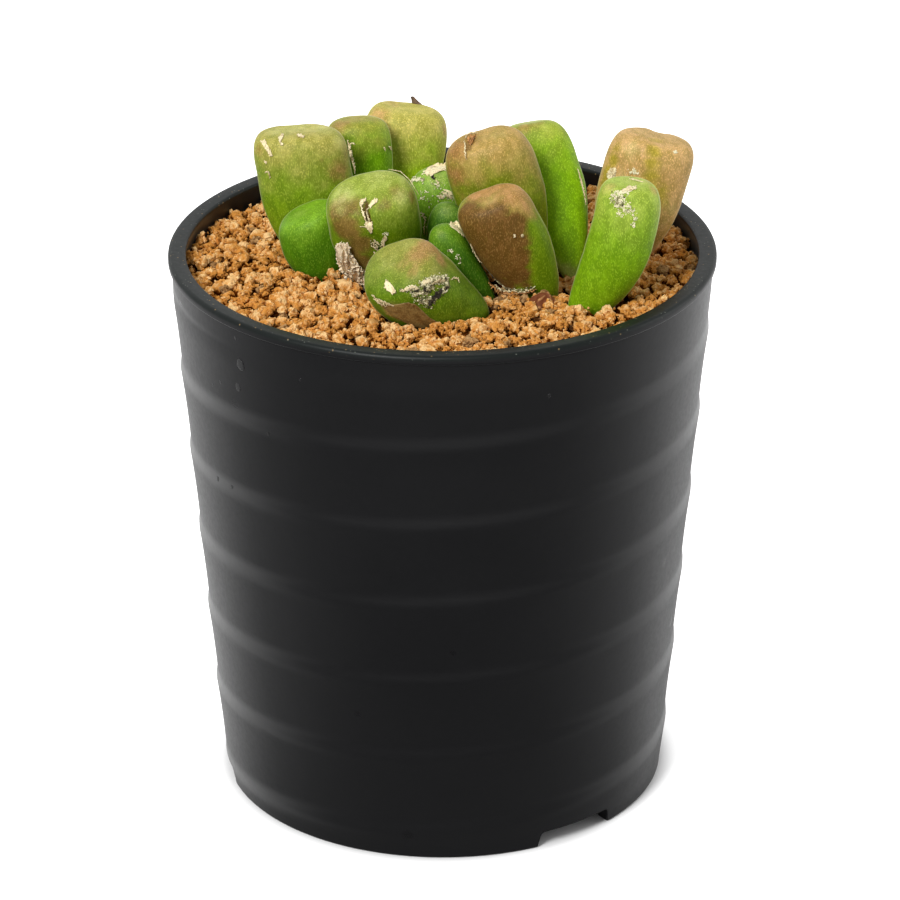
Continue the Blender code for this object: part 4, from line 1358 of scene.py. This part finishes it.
def make_heads():
    """All heads, each with its colours and marks."""
    for number, (name, head) in enumerate(HEADS.items()):
        look = LOOKS[name]
        skin = head_shape(head)
        skin.normal_update()
        for vert in skin.verts:
            vert.co += vert.normal * sum(
                soft_noise(vert.co, size, number) * height for size, height in HEAD_SWELLS)
        skin.normal_update()
        scar_layer = skin.verts.layers.float.new("scar")
        carve(skin, scar_layer, BVHTree.FromBMesh(skin), look.carves)
        skin.normal_update()
        HEAD_TREES[name] = BVHTree.FromBMesh(skin)
        rise_layer = skin.verts.layers.float.new("rise")
        top = max(vert.co.z for vert in skin.verts)
        for vert in skin.verts:
            vert[rise_layer] = (vert.co.z - HEAD_LEVEL) / (top - HEAD_LEVEL)
        # The "pale" marks are partly pale skin and partly painted highlights and painted light on
        # shaded flanks
        for label, marks in (("blush", look.blushes), ("pale", look.pales_and_highlights)):
            paint_marks(skin, skin.verts.layers.float.new(label), HEAD_TREES[name], marks)
        finish = skin_finish(name + "_skin", look)
        piece = finish_piece(name + "_fine", skin, finish)
        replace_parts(piece, name)


# Dried bits

def joined(whole, part):
    """Adds one shape to another and frees it."""
    mesh = mesh_of(part, "part")
    whole.from_mesh(mesh)
    bpy.data.meshes.remove(mesh)


def thickened(sheet):
    """Gives an open sheet its thickness."""
    made = bmesh.ops.extrude_face_region(sheet, geom=sheet.faces[:])["geom"]
    sheet.normal_update()
    raised = [item for item in made if isinstance(item, bmesh.types.BMVert)]
    for vert, normal in [(vert, vert.normal.copy()) for vert in raised]:
        vert.co += normal * PAPER_THICKNESS
    bmesh.ops.recalc_face_normals(sheet, faces=sheet.faces)
    return sheet


def strip_shape(tree, corners, width, stand, seed):
    """A thin ragged strip of dried skin along a line over the picture, flat or standing up."""
    path = line_on(tree, corners, STRIP_SPACING, True)
    last = len(path) - 1
    strip = bmesh.new()
    bmesh.ops.create_grid(strip, x_segments=last, y_segments=STRIP_LINES, size=1.0)
    lean = radians(stand)
    for vert in strip.verts:
        number = round((vert.co.x + 1) / 2 * last)
        across = vert.co.y
        place, normal = path[number]
        along = path[min(number + 1, last)][0] - path[max(number - 1, 0)][0]
        side = normal.cross(along).normalized()
        rough = noise.noise(Vector((number * 0.7, across * 1.1, seed)))
        wander = noise.noise(Vector((number * 0.4, seed, 4.0)))
        end_share = 1 - abs(vert.co.x) ** 3 * STRIP_END_NARROWING
        reach = width / 2 * max(0.95 + 1.9 * rough, STRIP_LEAST_REACH) * end_share
        outward = side * cos(lean) + normal * sin(lean)
        bowl = width * (0.10 + 0.18 * across * across + 0.15 * rough)
        lift = reach * sin(lean) + PAPER_THICKNESS + bowl
        sideways = side * (wander * width * STRIP_WANDER)
        vert.co = place + normal * lift + outward * (across * reach) + sideways
    return thickened(strip)


def row_at(rows, share):
    """Height and edges of a sheet's row at a share of the way down."""
    place = share * (len(rows) - 1)
    number = min(floor(place), len(rows) - 2)
    return [mixed(rows[number][part], rows[number + 1][part], place - number) for part in range(3)]


def sheet_shape(tree, rows, columns, lines, lift, fold, ragged, seed, sideways=False):
    """A crumpled sheet of dried skin over the part of a head that the rows cover in the picture.

    Sideways, the rows run along the picture's width and hold an upper and a lower edge.
    """
    sheet = bmesh.new()
    bmesh.ops.create_grid(sheet, x_segments=columns, y_segments=lines, size=0.5)
    for vert in sheet.verts:
        across = vert.co.x * 2
        down = 0.5 - vert.co.y
        level, left, right = row_at(rows, down)
        reach = (right - left) / 2
        uneven = noise.noise(Vector((down * 14.0, across, seed))) * abs(across) ** 3
        drop = noise.noise(Vector((across * 3.0, down, seed + 9.0))) * (2 * down - 1) ** 4
        spot = ((left + right) / 2 + across * reach + ragged * uneven, level + ragged * 1.6 * drop)
        picture_x, picture_y = spot[::-1] if sideways else spot
        place, normal = seen_point(tree, picture_x, picture_y, True)
        outward = (normal * 0.3 - sight_line(picture_x, picture_y)).normalized()
        rib = noise.noise(Vector((across * 2.6, down * 2.2, seed + 2.0)))
        crease = noise.noise(Vector((across * 6.0, down * 11.0, seed + 5.0)))
        curl = abs(across) ** 4 * (0.6 + rib)
        height = lift + fold * (1 - 2 * abs(rib) + 0.45 * (1 - 2 * abs(crease)) + curl)
        vert.co = place + outward * height
    return thickened(sheet)


def add_crust_grain(shape, layer, draw, place, normal, size, tone):
    """One crumb of crust: a small squashed ball of 20 faces, knocked out of shape."""
    made = bmesh.ops.create_icosphere(shape, subdivisions=1, radius=1.0)["verts"]
    upright = normal.to_track_quat("Z", "Y").to_matrix()
    turn = upright @ Matrix.Rotation(draw.uniform(0, 2 * pi), 3, "Z")
    stretch = Vector((draw.uniform(0.8, 1.9), draw.uniform(0.6, 1.1), draw.uniform(0.3, 0.9)))
    for vert in made:
        vert[layer] = clamped(tone + draw.uniform(-0.15, 0.15))
        vert.co = place + turn @ (vert.co * stretch) * (size * draw.uniform(0.75, 1.25))


def crust_shape(tree, crusts, draw):
    """All crumbs of crust on one head, scattered about lines over the picture."""
    whole = bmesh.new()
    for corners, spread, count, tone in crusts:
        path = line_on(tree, corners, CRUST_SPACING)
        batch = bmesh.new()
        layer = batch.verts.layers.float.new("tint")
        for _ in range(count):
            centre, normal = draw.choice(path)
            shift = Vector([draw.gauss(0, spread / PICTURE_SCALE / 1.5) for _ in range(3)])
            place, normal, _, _ = tree.find_nearest(centre + shift - normal * shift.dot(normal))
            size = mixed(*CRUST_SIZES, draw.random() ** CRUST_SMALLNESS)
            lifted = place + normal * size * draw.uniform(*CRUST_LIFTS)
            patch = CRUST_PATCHES * soft_noise(place, CRUST_PATCH_SIZE, 6)
            own_tone = tone + patch + draw.uniform(-0.3, 0.15)
            add_crust_grain(batch, layer, draw, lifted, normal, size, own_tone)
        joined(whole, batch)
    return whole


def make_bits():
    """Papery strips, flakes and crumbs of crust on the heads."""
    draw = random.Random(CRUST_SEED)
    cream = paper_finish("cream_paper", *CREAM_PAPER, 0.40)
    rusty = paper_finish("rusty_paper", *RUSTY_PAPER, 0.5)
    crust = crust_finish()
    for number, (name, bits) in enumerate(BITS.items()):
        tree = HEAD_TREES[name]
        for label, strips, flakes, finish in (
                ("papery", bits.strips, bits.flakes, cream), ("rusty", bits.rusty, [], rusty)):
            if not strips and not flakes:
                continue
            whole = bmesh.new()
            for place, (corners, width, stand) in enumerate(strips):
                joined(whole, strip_shape(tree, corners, width, stand, number * 10.0 + place))
            for place, rows in enumerate(flakes):
                joined(whole, sheet_shape(
                    tree, rows, FLAKE_COLUMNS, FLAKE_LINES, FLAKE_LIFT, FLAKE_LIFT, FLAKE_RAGGED,
                    number * 10.0 + place + 0.5))
            finish_piece(f"{name}_{label}_bits", whole, finish)
        if bits.crusts:
            crumbs = crust_shape(tree, bits.crusts, draw)
            finish_piece(f"{name}_crust", crumbs, crust)


def make_sheets():
    """The crumpled dried leaf beside the middle head and the brown skin under the front one."""
    tree = HEAD_TREES["head_centre"]
    sheath = sheet_shape(
        tree, SHEATH_LOWER_ROWS, columns=34, lines=70, lift=0.35, fold=0.34, ragged=3.0, seed=3.0)
    joined(sheath, sheet_shape(
        tree, SHEATH_UPPER_ROWS, columns=28, lines=60, lift=0.75, fold=0.17, ragged=2.4, seed=6.0))
    leaf_tree = BVHTree.FromBMesh(sheath)
    for number, (corners, width) in enumerate(SHEATH_FIBRES):
        joined(sheath, strip_shape(leaf_tree, corners, width, FIBRE_STAND, number + 60.0))
    finish = paper_finish("dried_leaf", *LEAF_PAPER, 0.36, 0.8)
    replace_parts(finish_piece("dried_sheath_fine", sheath, finish),
                "dried_sheath")
    skin = sheet_shape(
        HEAD_TREES["head_front_low"], FRONT_SKIN_COLUMNS, columns=30, lines=60, lift=0.12,
        fold=0.05, ragged=1.2, seed=8.0, sideways=True)
    finish = paper_finish("dried_front_skin", *FRONT_SKIN_PAPER, 0.5, 0.6)
    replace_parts(finish_piece("dried_skin_front_fine", skin, finish),
                "dried_skin_front")


def make_stub():
    """The dark dried flower stub on the back head: a bent, flattened and wrinkled wedge."""
    base, _ = seen_point(HEAD_TREES["head_back_twin"], *STUB_PLACE)
    stub = bmesh.new()
    bmesh.ops.create_cone(
        stub, cap_ends=True, segments=STUB_SEGMENTS, radius1=1.0, radius2=STUB_TIP_WIDTH, depth=1.0)
    bmesh.ops.translate(stub, vec=(0, 0, 0.5), verts=stub.verts)
    upright = [edge for edge in stub.edges if abs(edge.verts[0].co.z - edge.verts[1].co.z) > 0.5]
    bmesh.ops.subdivide_edges(stub, edges=upright, cuts=STUB_RINGS, use_grid_fill=True)
    tip = Vector(STUB_TIP)
    for vert in stub.verts:
        turn = atan2(vert.co.y, vert.co.x)
        rise = vert.co.z
        wrinkle = 1 + 0.16 * cos(5 * turn + 2 * rise) + 0.12 * soft_noise(vert.co, 0.3, 2)
        across = vert.co.x * wrinkle * STUB_RADIUS * (1 - STUB_NARROWING * rise)
        deep = vert.co.y * wrinkle * STUB_RADIUS * STUB_FLATNESS
        vert.co = base + tip * (rise - STUB_SUNK) + Vector((across, deep, 0.12 * rise * across))
    finish = paper_finish("dark_dried_flower", *FLOWER_PAPER, 0.5, 0.6)
    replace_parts(finish_piece("flower_stub_fine", stub, finish, STUB_SHARP_ANGLE),
                "flower_stub")


def make_shrivelled_head():
    """The small dead head in the soil: a dark wedge with deep pleats and orange edges."""
    body = bmesh.new()
    bmesh.ops.create_icosphere(body, subdivisions=5, radius=1.0)
    edge_layer = body.verts.layers.float.new("tint")
    centre = Vector(SHRIVELLED_PLACE)
    for vert in body.verts:
        turn = atan2(vert.co.y, vert.co.x)
        rise = vert.co.z
        pleat = 1 - abs(sin(turn * SHRIVELLED_PLEATS / 2 + 0.7 * rise + 0.4))
        wrinkle = soft_noise(vert.co, 0.35, 5)
        ring = 1 - 0.42 * max(rise, 0.0) + 0.26 * pleat + 0.10 * wrinkle
        vert[edge_layer] = clamped(0.3 * pleat + 1.1 * wrinkle + 0.35 * vert.co.x)
        across = vert.co.x * ring * SHRIVELLED_SIZE[0] + 0.35 * rise
        deep = vert.co.y * ring * SHRIVELLED_SIZE[1]
        vert.co = centre + Vector((across, deep, rise * SHRIVELLED_SIZE[2] + 0.15 * wrinkle))
    finish = dead_head_finish()
    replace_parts(finish_piece("shrivelled_head_fine", body, finish),
                "shrivelled_head")


def make_water_marks(tree):
    """Dried drops on the pot's wall: low domes of the pot's colour with a shinier skin."""
    whole = bmesh.new()
    for picture_x, picture_y, radius in WATER_MARKS:
        place, normal = seen_point(tree, picture_x, picture_y)
        drop = bmesh.new()
        bmesh.ops.create_uvsphere(drop, u_segments=28, v_segments=10, radius=1.0)
        turn = normal.to_track_quat("Z", "Y").to_matrix()
        for vert in drop.verts:
            edge = 1 + 0.3 * noise.noise(vert.co * 1.7 + Vector((picture_x, picture_y, 0.0)))
            flat = Vector((
                vert.co.x * edge * DROP_NARROWNESS, vert.co.y * edge, vert.co.z * DROP_FLATNESS))
            vert.co = place + turn @ (flat * radius)
        joined(whole, drop)
    finish_piece("water_marks", whole, drop_finish())


# Soil

def soil_level(x, y):
    """Height of the soil's surface without its granules, with the hollows between the heads."""
    level = SOIL_LEVEL + SOIL_HEAP * (1 - (hypot(x, y) / RIM_INNER_RADIUS) ** 2)
    for hollow_x, hollow_y, reach, depth in HOLLOWS:
        level -= depth * exp(-(hypot(x - hollow_x, y - hollow_y) / reach) ** 2)
    return level


def make_bed():
    """The dark packed soil under the granules, down to the pot's floor, its dark partly painted
    shade between the granules.
    """
    top_radius = inner_radius(SOIL_LEVEL) - FIT_GAP
    floor_top = FLOOR_UNDERSIDE + FLOOR_THICKNESS + FIT_GAP
    low_radius = inner_radius(floor_top) - FLOOR_CORNER - FIT_GAP
    section = [(0.0, floor_top)]
    section += straight_points(section[0], (low_radius, floor_top), BED_FLOOR_SPACING)
    section.append((low_radius, floor_top))
    section += straight_points(section[-1], (top_radius, SOIL_LEVEL), BED_WALL_SPACING)
    section.append((top_radius, SOIL_LEVEL))
    section += straight_points(section[-1], (0.0, SOIL_LEVEL), BED_TOP_SPACING)
    section.append((0.0, SOIL_LEVEL))
    bed = spun(section, BED_SEGMENTS)
    tint_layer = bed.verts.layers.float.new("tint")
    painted_light_layer = bed.verts.layers.float.new("lumps")
    for vert in bed.verts:
        lumps = soft_noise(vert.co, BED_LUMP_SIZE, 3)
        vert[tint_layer] = BED_TINT
        # Painted shade: the bed's low points get low "lumps" values and are painted darker than its
        # raised ones
        vert[painted_light_layer] = 0.5 + 0.5 * lumps
        if vert.co.z > SOIL_LEVEL - 0.01:
            vert.co.z = soil_level(vert.co.x, vert.co.y) - BED_DEPTH + BED_LUMPS * lumps
        elif vert.co.z < floor_top + 0.01:
            vert.co.z += 0.2 * max(lumps, 0.0)
    finish = clay_finish("packed_soil", BED_TONES, 0.25)
    piece = finish_piece("soil_bed", bed, finish)
    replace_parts(piece, "soil")


def clear_of_heads(point, size):
    """Whether a granule of this size stands outside every head, touching it at most."""
    for tree in HEAD_TREES.values():
        place, normal, _, distance = tree.find_nearest(point, HEAD_SEARCH)
        if place is None:
            continue
        if (point - place).dot(normal) < 0 or distance < size * HEAD_OVERLAP:
            return False
    return True


def granule_spots(draw, pitch, jitter):
    """Places on a loose triangular grid inside the pot."""
    row_step = pitch * sin(pi / 3)
    reach = inner_radius(SOIL_LEVEL)
    rows = int(reach / row_step)
    columns = int(reach / pitch) + 1
    spots = []
    for row in range(-rows, rows + 1):
        for column in range(-columns, columns + 1):
            x = (column + 0.5 * (row % 2)) * pitch + draw.uniform(-jitter, jitter)
            y = row * row_step + draw.uniform(-jitter, jitter)
            if hypot(x, y) < reach - WALL_ROOM:
                spots.append((x, y))
    return spots


def add_ball(shape, layers, draw, place, size, rough, tint, fineness):
    """One irregular ball of 20 or 80 faces with lumps and hollows, turned at random."""
    turn = Euler([draw.uniform(0, 2 * pi) for _ in range(3)]).to_matrix()
    stretch = Vector([draw.uniform(*BALL_STRETCH) for _ in range(3)])
    made = bmesh.ops.create_icosphere(shape, subdivisions=fineness, radius=1.0)["verts"]
    offset = Vector([draw.uniform(-50, 50) for _ in range(3)])
    for vert in made:
        lump = noise.noise(vert.co * 1.15 + offset)
        crumb = noise.noise(vert.co * 2.7 - offset)
        reach = 1 + rough * (0.6 * lump + 0.5 * crumb)
        vert[layers[0]] = tint
        vert.co = place + turn @ (vert.co * stretch) * (size * reach)
        # Painted shade: points low between the granules and in the ball's hollows get low "lumps"
        # values, so they are painted dark
        above = vert.co.z - soil_level(vert.co.x, vert.co.y)
        unshaded_share = smooth_step(FULL_SHADE_LEVEL, SHADE_FREE_LEVEL, above)
        vert[layers[1]] = clamped(0.12 + 0.60 * unshaded_share + 0.35 * lump + 0.45 * crumb)


def add_granule(shape, layers, draw, place, size, rough, tint, knobs):
    """One granule: a lumpy ball with smaller knobs on its upper side. A crumb has no knobs."""
    if knobs == 0:
        add_ball(shape, layers, draw, place, size, rough, tint, 1)
        return
    add_ball(shape, layers, draw, place, size * CORE_SIZE, rough * CORE_ROUGHNESS, tint, 2)
    for _ in range(knobs):
        turn = draw.uniform(0, 2 * pi)
        rise = draw.uniform(*KNOB_RISES)
        ring = (1 - rise * rise) ** 0.5
        way = Vector((ring * cos(turn), ring * sin(turn), rise))
        own_tint = clamped(tint + draw.uniform(-0.2, 0.25), 0.1) if tint > GREY_TINT else tint
        knob = size * draw.uniform(*KNOB_SIZES)
        knob_place = place + way * (size * KNOB_PLACE)
        add_ball(shape, layers, draw, knob_place, knob, rough * KNOB_ROUGHNESS, own_tint, 1)


def drawn_grains(draw):
    """Place, size, tint and number of knobs of every granule and crumb, before any is left out."""
    grains = []
    for x, y in granule_spots(draw, LOWER_PITCH, LOWER_JITTER):
        size = draw.uniform(*GRANULE_SIZES)
        level = soil_level(x, y) + LOWER_LEVEL + draw.uniform(*LOWER_LEVELS)
        grains.append((Vector((x, y, level)), size, draw.uniform(*LOWER_TINTS), LOWER_KNOBS))
    for x, y in granule_spots(draw, UPPER_PITCH, UPPER_JITTER):
        size = draw.uniform(*GRANULE_SIZES)
        size *= 1.0 if draw.random() < USUAL_SHARE else LARGE_GRANULE
        level = soil_level(x, y) + UPPER_LEVEL + draw.uniform(*UPPER_LEVELS)
        grains.append((Vector((x, y, level)), size, draw.uniform(*UPPER_TINTS), UPPER_KNOBS))
    reach = inner_radius(SOIL_LEVEL) - CRUMB_WALL_ROOM
    for _ in range(CRUMB_COUNT):
        turn = draw.uniform(0, 2 * pi)
        radius = reach * draw.random() ** 0.5
        x = radius * cos(turn)
        y = radius * sin(turn)
        size = draw.uniform(*CRUMB_SIZES)
        level = soil_level(x, y) + draw.uniform(*CRUMB_LEVELS)
        grains.append((Vector((x, y, level)), size, draw.uniform(*CRUMB_TINTS), 0))
    return grains


def make_granules():
    """The clay granules and crumbs that stand clear of the heads, in sectors of the pot."""
    draw = random.Random(GRANULE_SEED)
    sectors = [[] for _ in range(SECTORS)]
    for place, size, tint, knobs in drawn_grains(draw):
        inside = inner_radius(place.z) - size * WALL_OVERLAP
        radius = hypot(place.x, place.y)
        if radius > inside:
            place.x *= inside / radius
            place.y *= inside / radius
        if not clear_of_heads(place, size):
            continue
        sector = int((atan2(place.y, place.x) + pi) / (2 * pi) * SECTORS) % SECTORS
        sectors[sector].append((place, size, draw.uniform(*GRANULE_ROUGHNESS), tint, knobs))
    finish = clay_finish("clay_granules", GRANULE_TONES, 0.7)
    for number, members in enumerate(sectors, 1):
        shape = gathered(members, draw)
        finish_piece(f"granules_{number}", shape, finish, GRANULE_SHARP_ANGLE)


def gathered(members, draw):
    """Many granules as one shape, made in small batches so that each stays quick."""
    whole = bmesh.new()
    for start in range(0, len(members), BATCH):
        batch = bmesh.new()
        # The "lumps" layer holds painted shade and light
        layers = (batch.verts.layers.float.new("tint"), batch.verts.layers.float.new("lumps"))
        for place, size, rough, tint, knobs in members[start:start + BATCH]:
            add_granule(batch, layers, draw, place, size, rough, tint, knobs)
        joined(whole, batch)
    return whole


# Stage

def light_scene():
    """A soft white surround, brighter behind the plant, and two broad lamps."""
    world = bpy.data.worlds.new("studio")
    bpy.context.scene.world = world
    world.use_nodes = True
    board = Board(world.node_tree)
    way = board.axes(board.add("ShaderNodeTexCoord").outputs["Generated"])
    around = board.ramp(way["Y"], -0.2, 0.9, 0.48, 1.1)
    low = board.ramp(way["Z"], 0.5, 0.05, 0.0, 0.22)
    front = board.ramp(way["Y"], 0.2, -0.5)
    around = board.plus(around, board.times(low, front))
    board.fill(world.node_tree.nodes["Background"], Color=WHITE,
               Strength=board.math("MAXIMUM", around, board.seen()))
    for name, place, size, power in LAMPS:
        data = bpy.data.lights.new(name, "AREA")
        data.shape = "DISK"
        data.size = size
        data.energy = power
        lamp = put(name, data)
        lamp.location = place
        aim = Vector(LAMP_TARGET) - Vector(place)
        lamp.rotation_euler = aim.to_track_quat("-Z", "Y").to_euler()
    bpy.context.scene.view_settings.view_transform = "Standard"


def distance_from(board, middle):
    """Distance of a point of the floor from another, in metres."""
    node = board.add("ShaderNodeVectorMath", operation="DISTANCE")
    board.feed(node.inputs[0], board.place())
    node.inputs[1].default_value = middle
    return node.outputs["Value"]


def floor_finish():
    """White to the camera through a glow that fades out near the pot's foot as a painted contact
    shadow, and darker in front and at the left for light that bounces.
    """
    board = Finish("pale_floor")
    here = board.axes(board.place())
    away = distance_from(board, (0.0, 0.0, 0.0))
    ahead = distance_from(board, (0.0, -0.05, 0.0))
    card = board.plus(board.ramp(here["Y"], -0.10, 0.04, 0.24, 0.9),
                      board.ramp(away, 0.11, 0.26, 0.0, 0.45))
    card = board.times(card, board.ramp(ahead, 0.02, 0.07, 0.7, 1.0))
    card = board.times(board.math("MINIMUM", card, 1.0),
                       board.ramp(here["X"], -0.12, -0.02, 0.72, 1.0))
    # Painted contact shadow: the glow that whitens the floor for the camera fades out close to the
    # pot's foot
    white_glow_and_painted_shadow = board.plus(board.ramp(away, 0.0300, 0.0335, 0.0, 0.6),
                      board.ramp(away, 0.0320, 0.0400, 0.0, 0.35))
    seen = board.seen()
    return board.dress(
        Base_Color=board.blend(seen, board.blend(card, BLACK, WHITE), FLOOR_GREY),
        Emission_Color=WHITE,
        Emission_Strength=board.times(seen, white_glow_and_painted_shadow),
        Roughness=0.9,
        Specular_IOR_Level=0.1)


def lay_floor():
    """A plain round floor."""
    slab = bmesh.new()
    bmesh.ops.create_circle(slab, cap_ends=True, segments=96, radius=FLOOR_RADIUS)
    mesh = mesh_of(slab, "floor")
    mesh.materials.append(floor_finish())
    put("floor", mesh)


place_camera()
light_scene()
lay_floor()
make_pot()
make_heads()
make_bits()
make_sheets()
make_stub()
make_shrivelled_head()
make_bed()
make_granules()
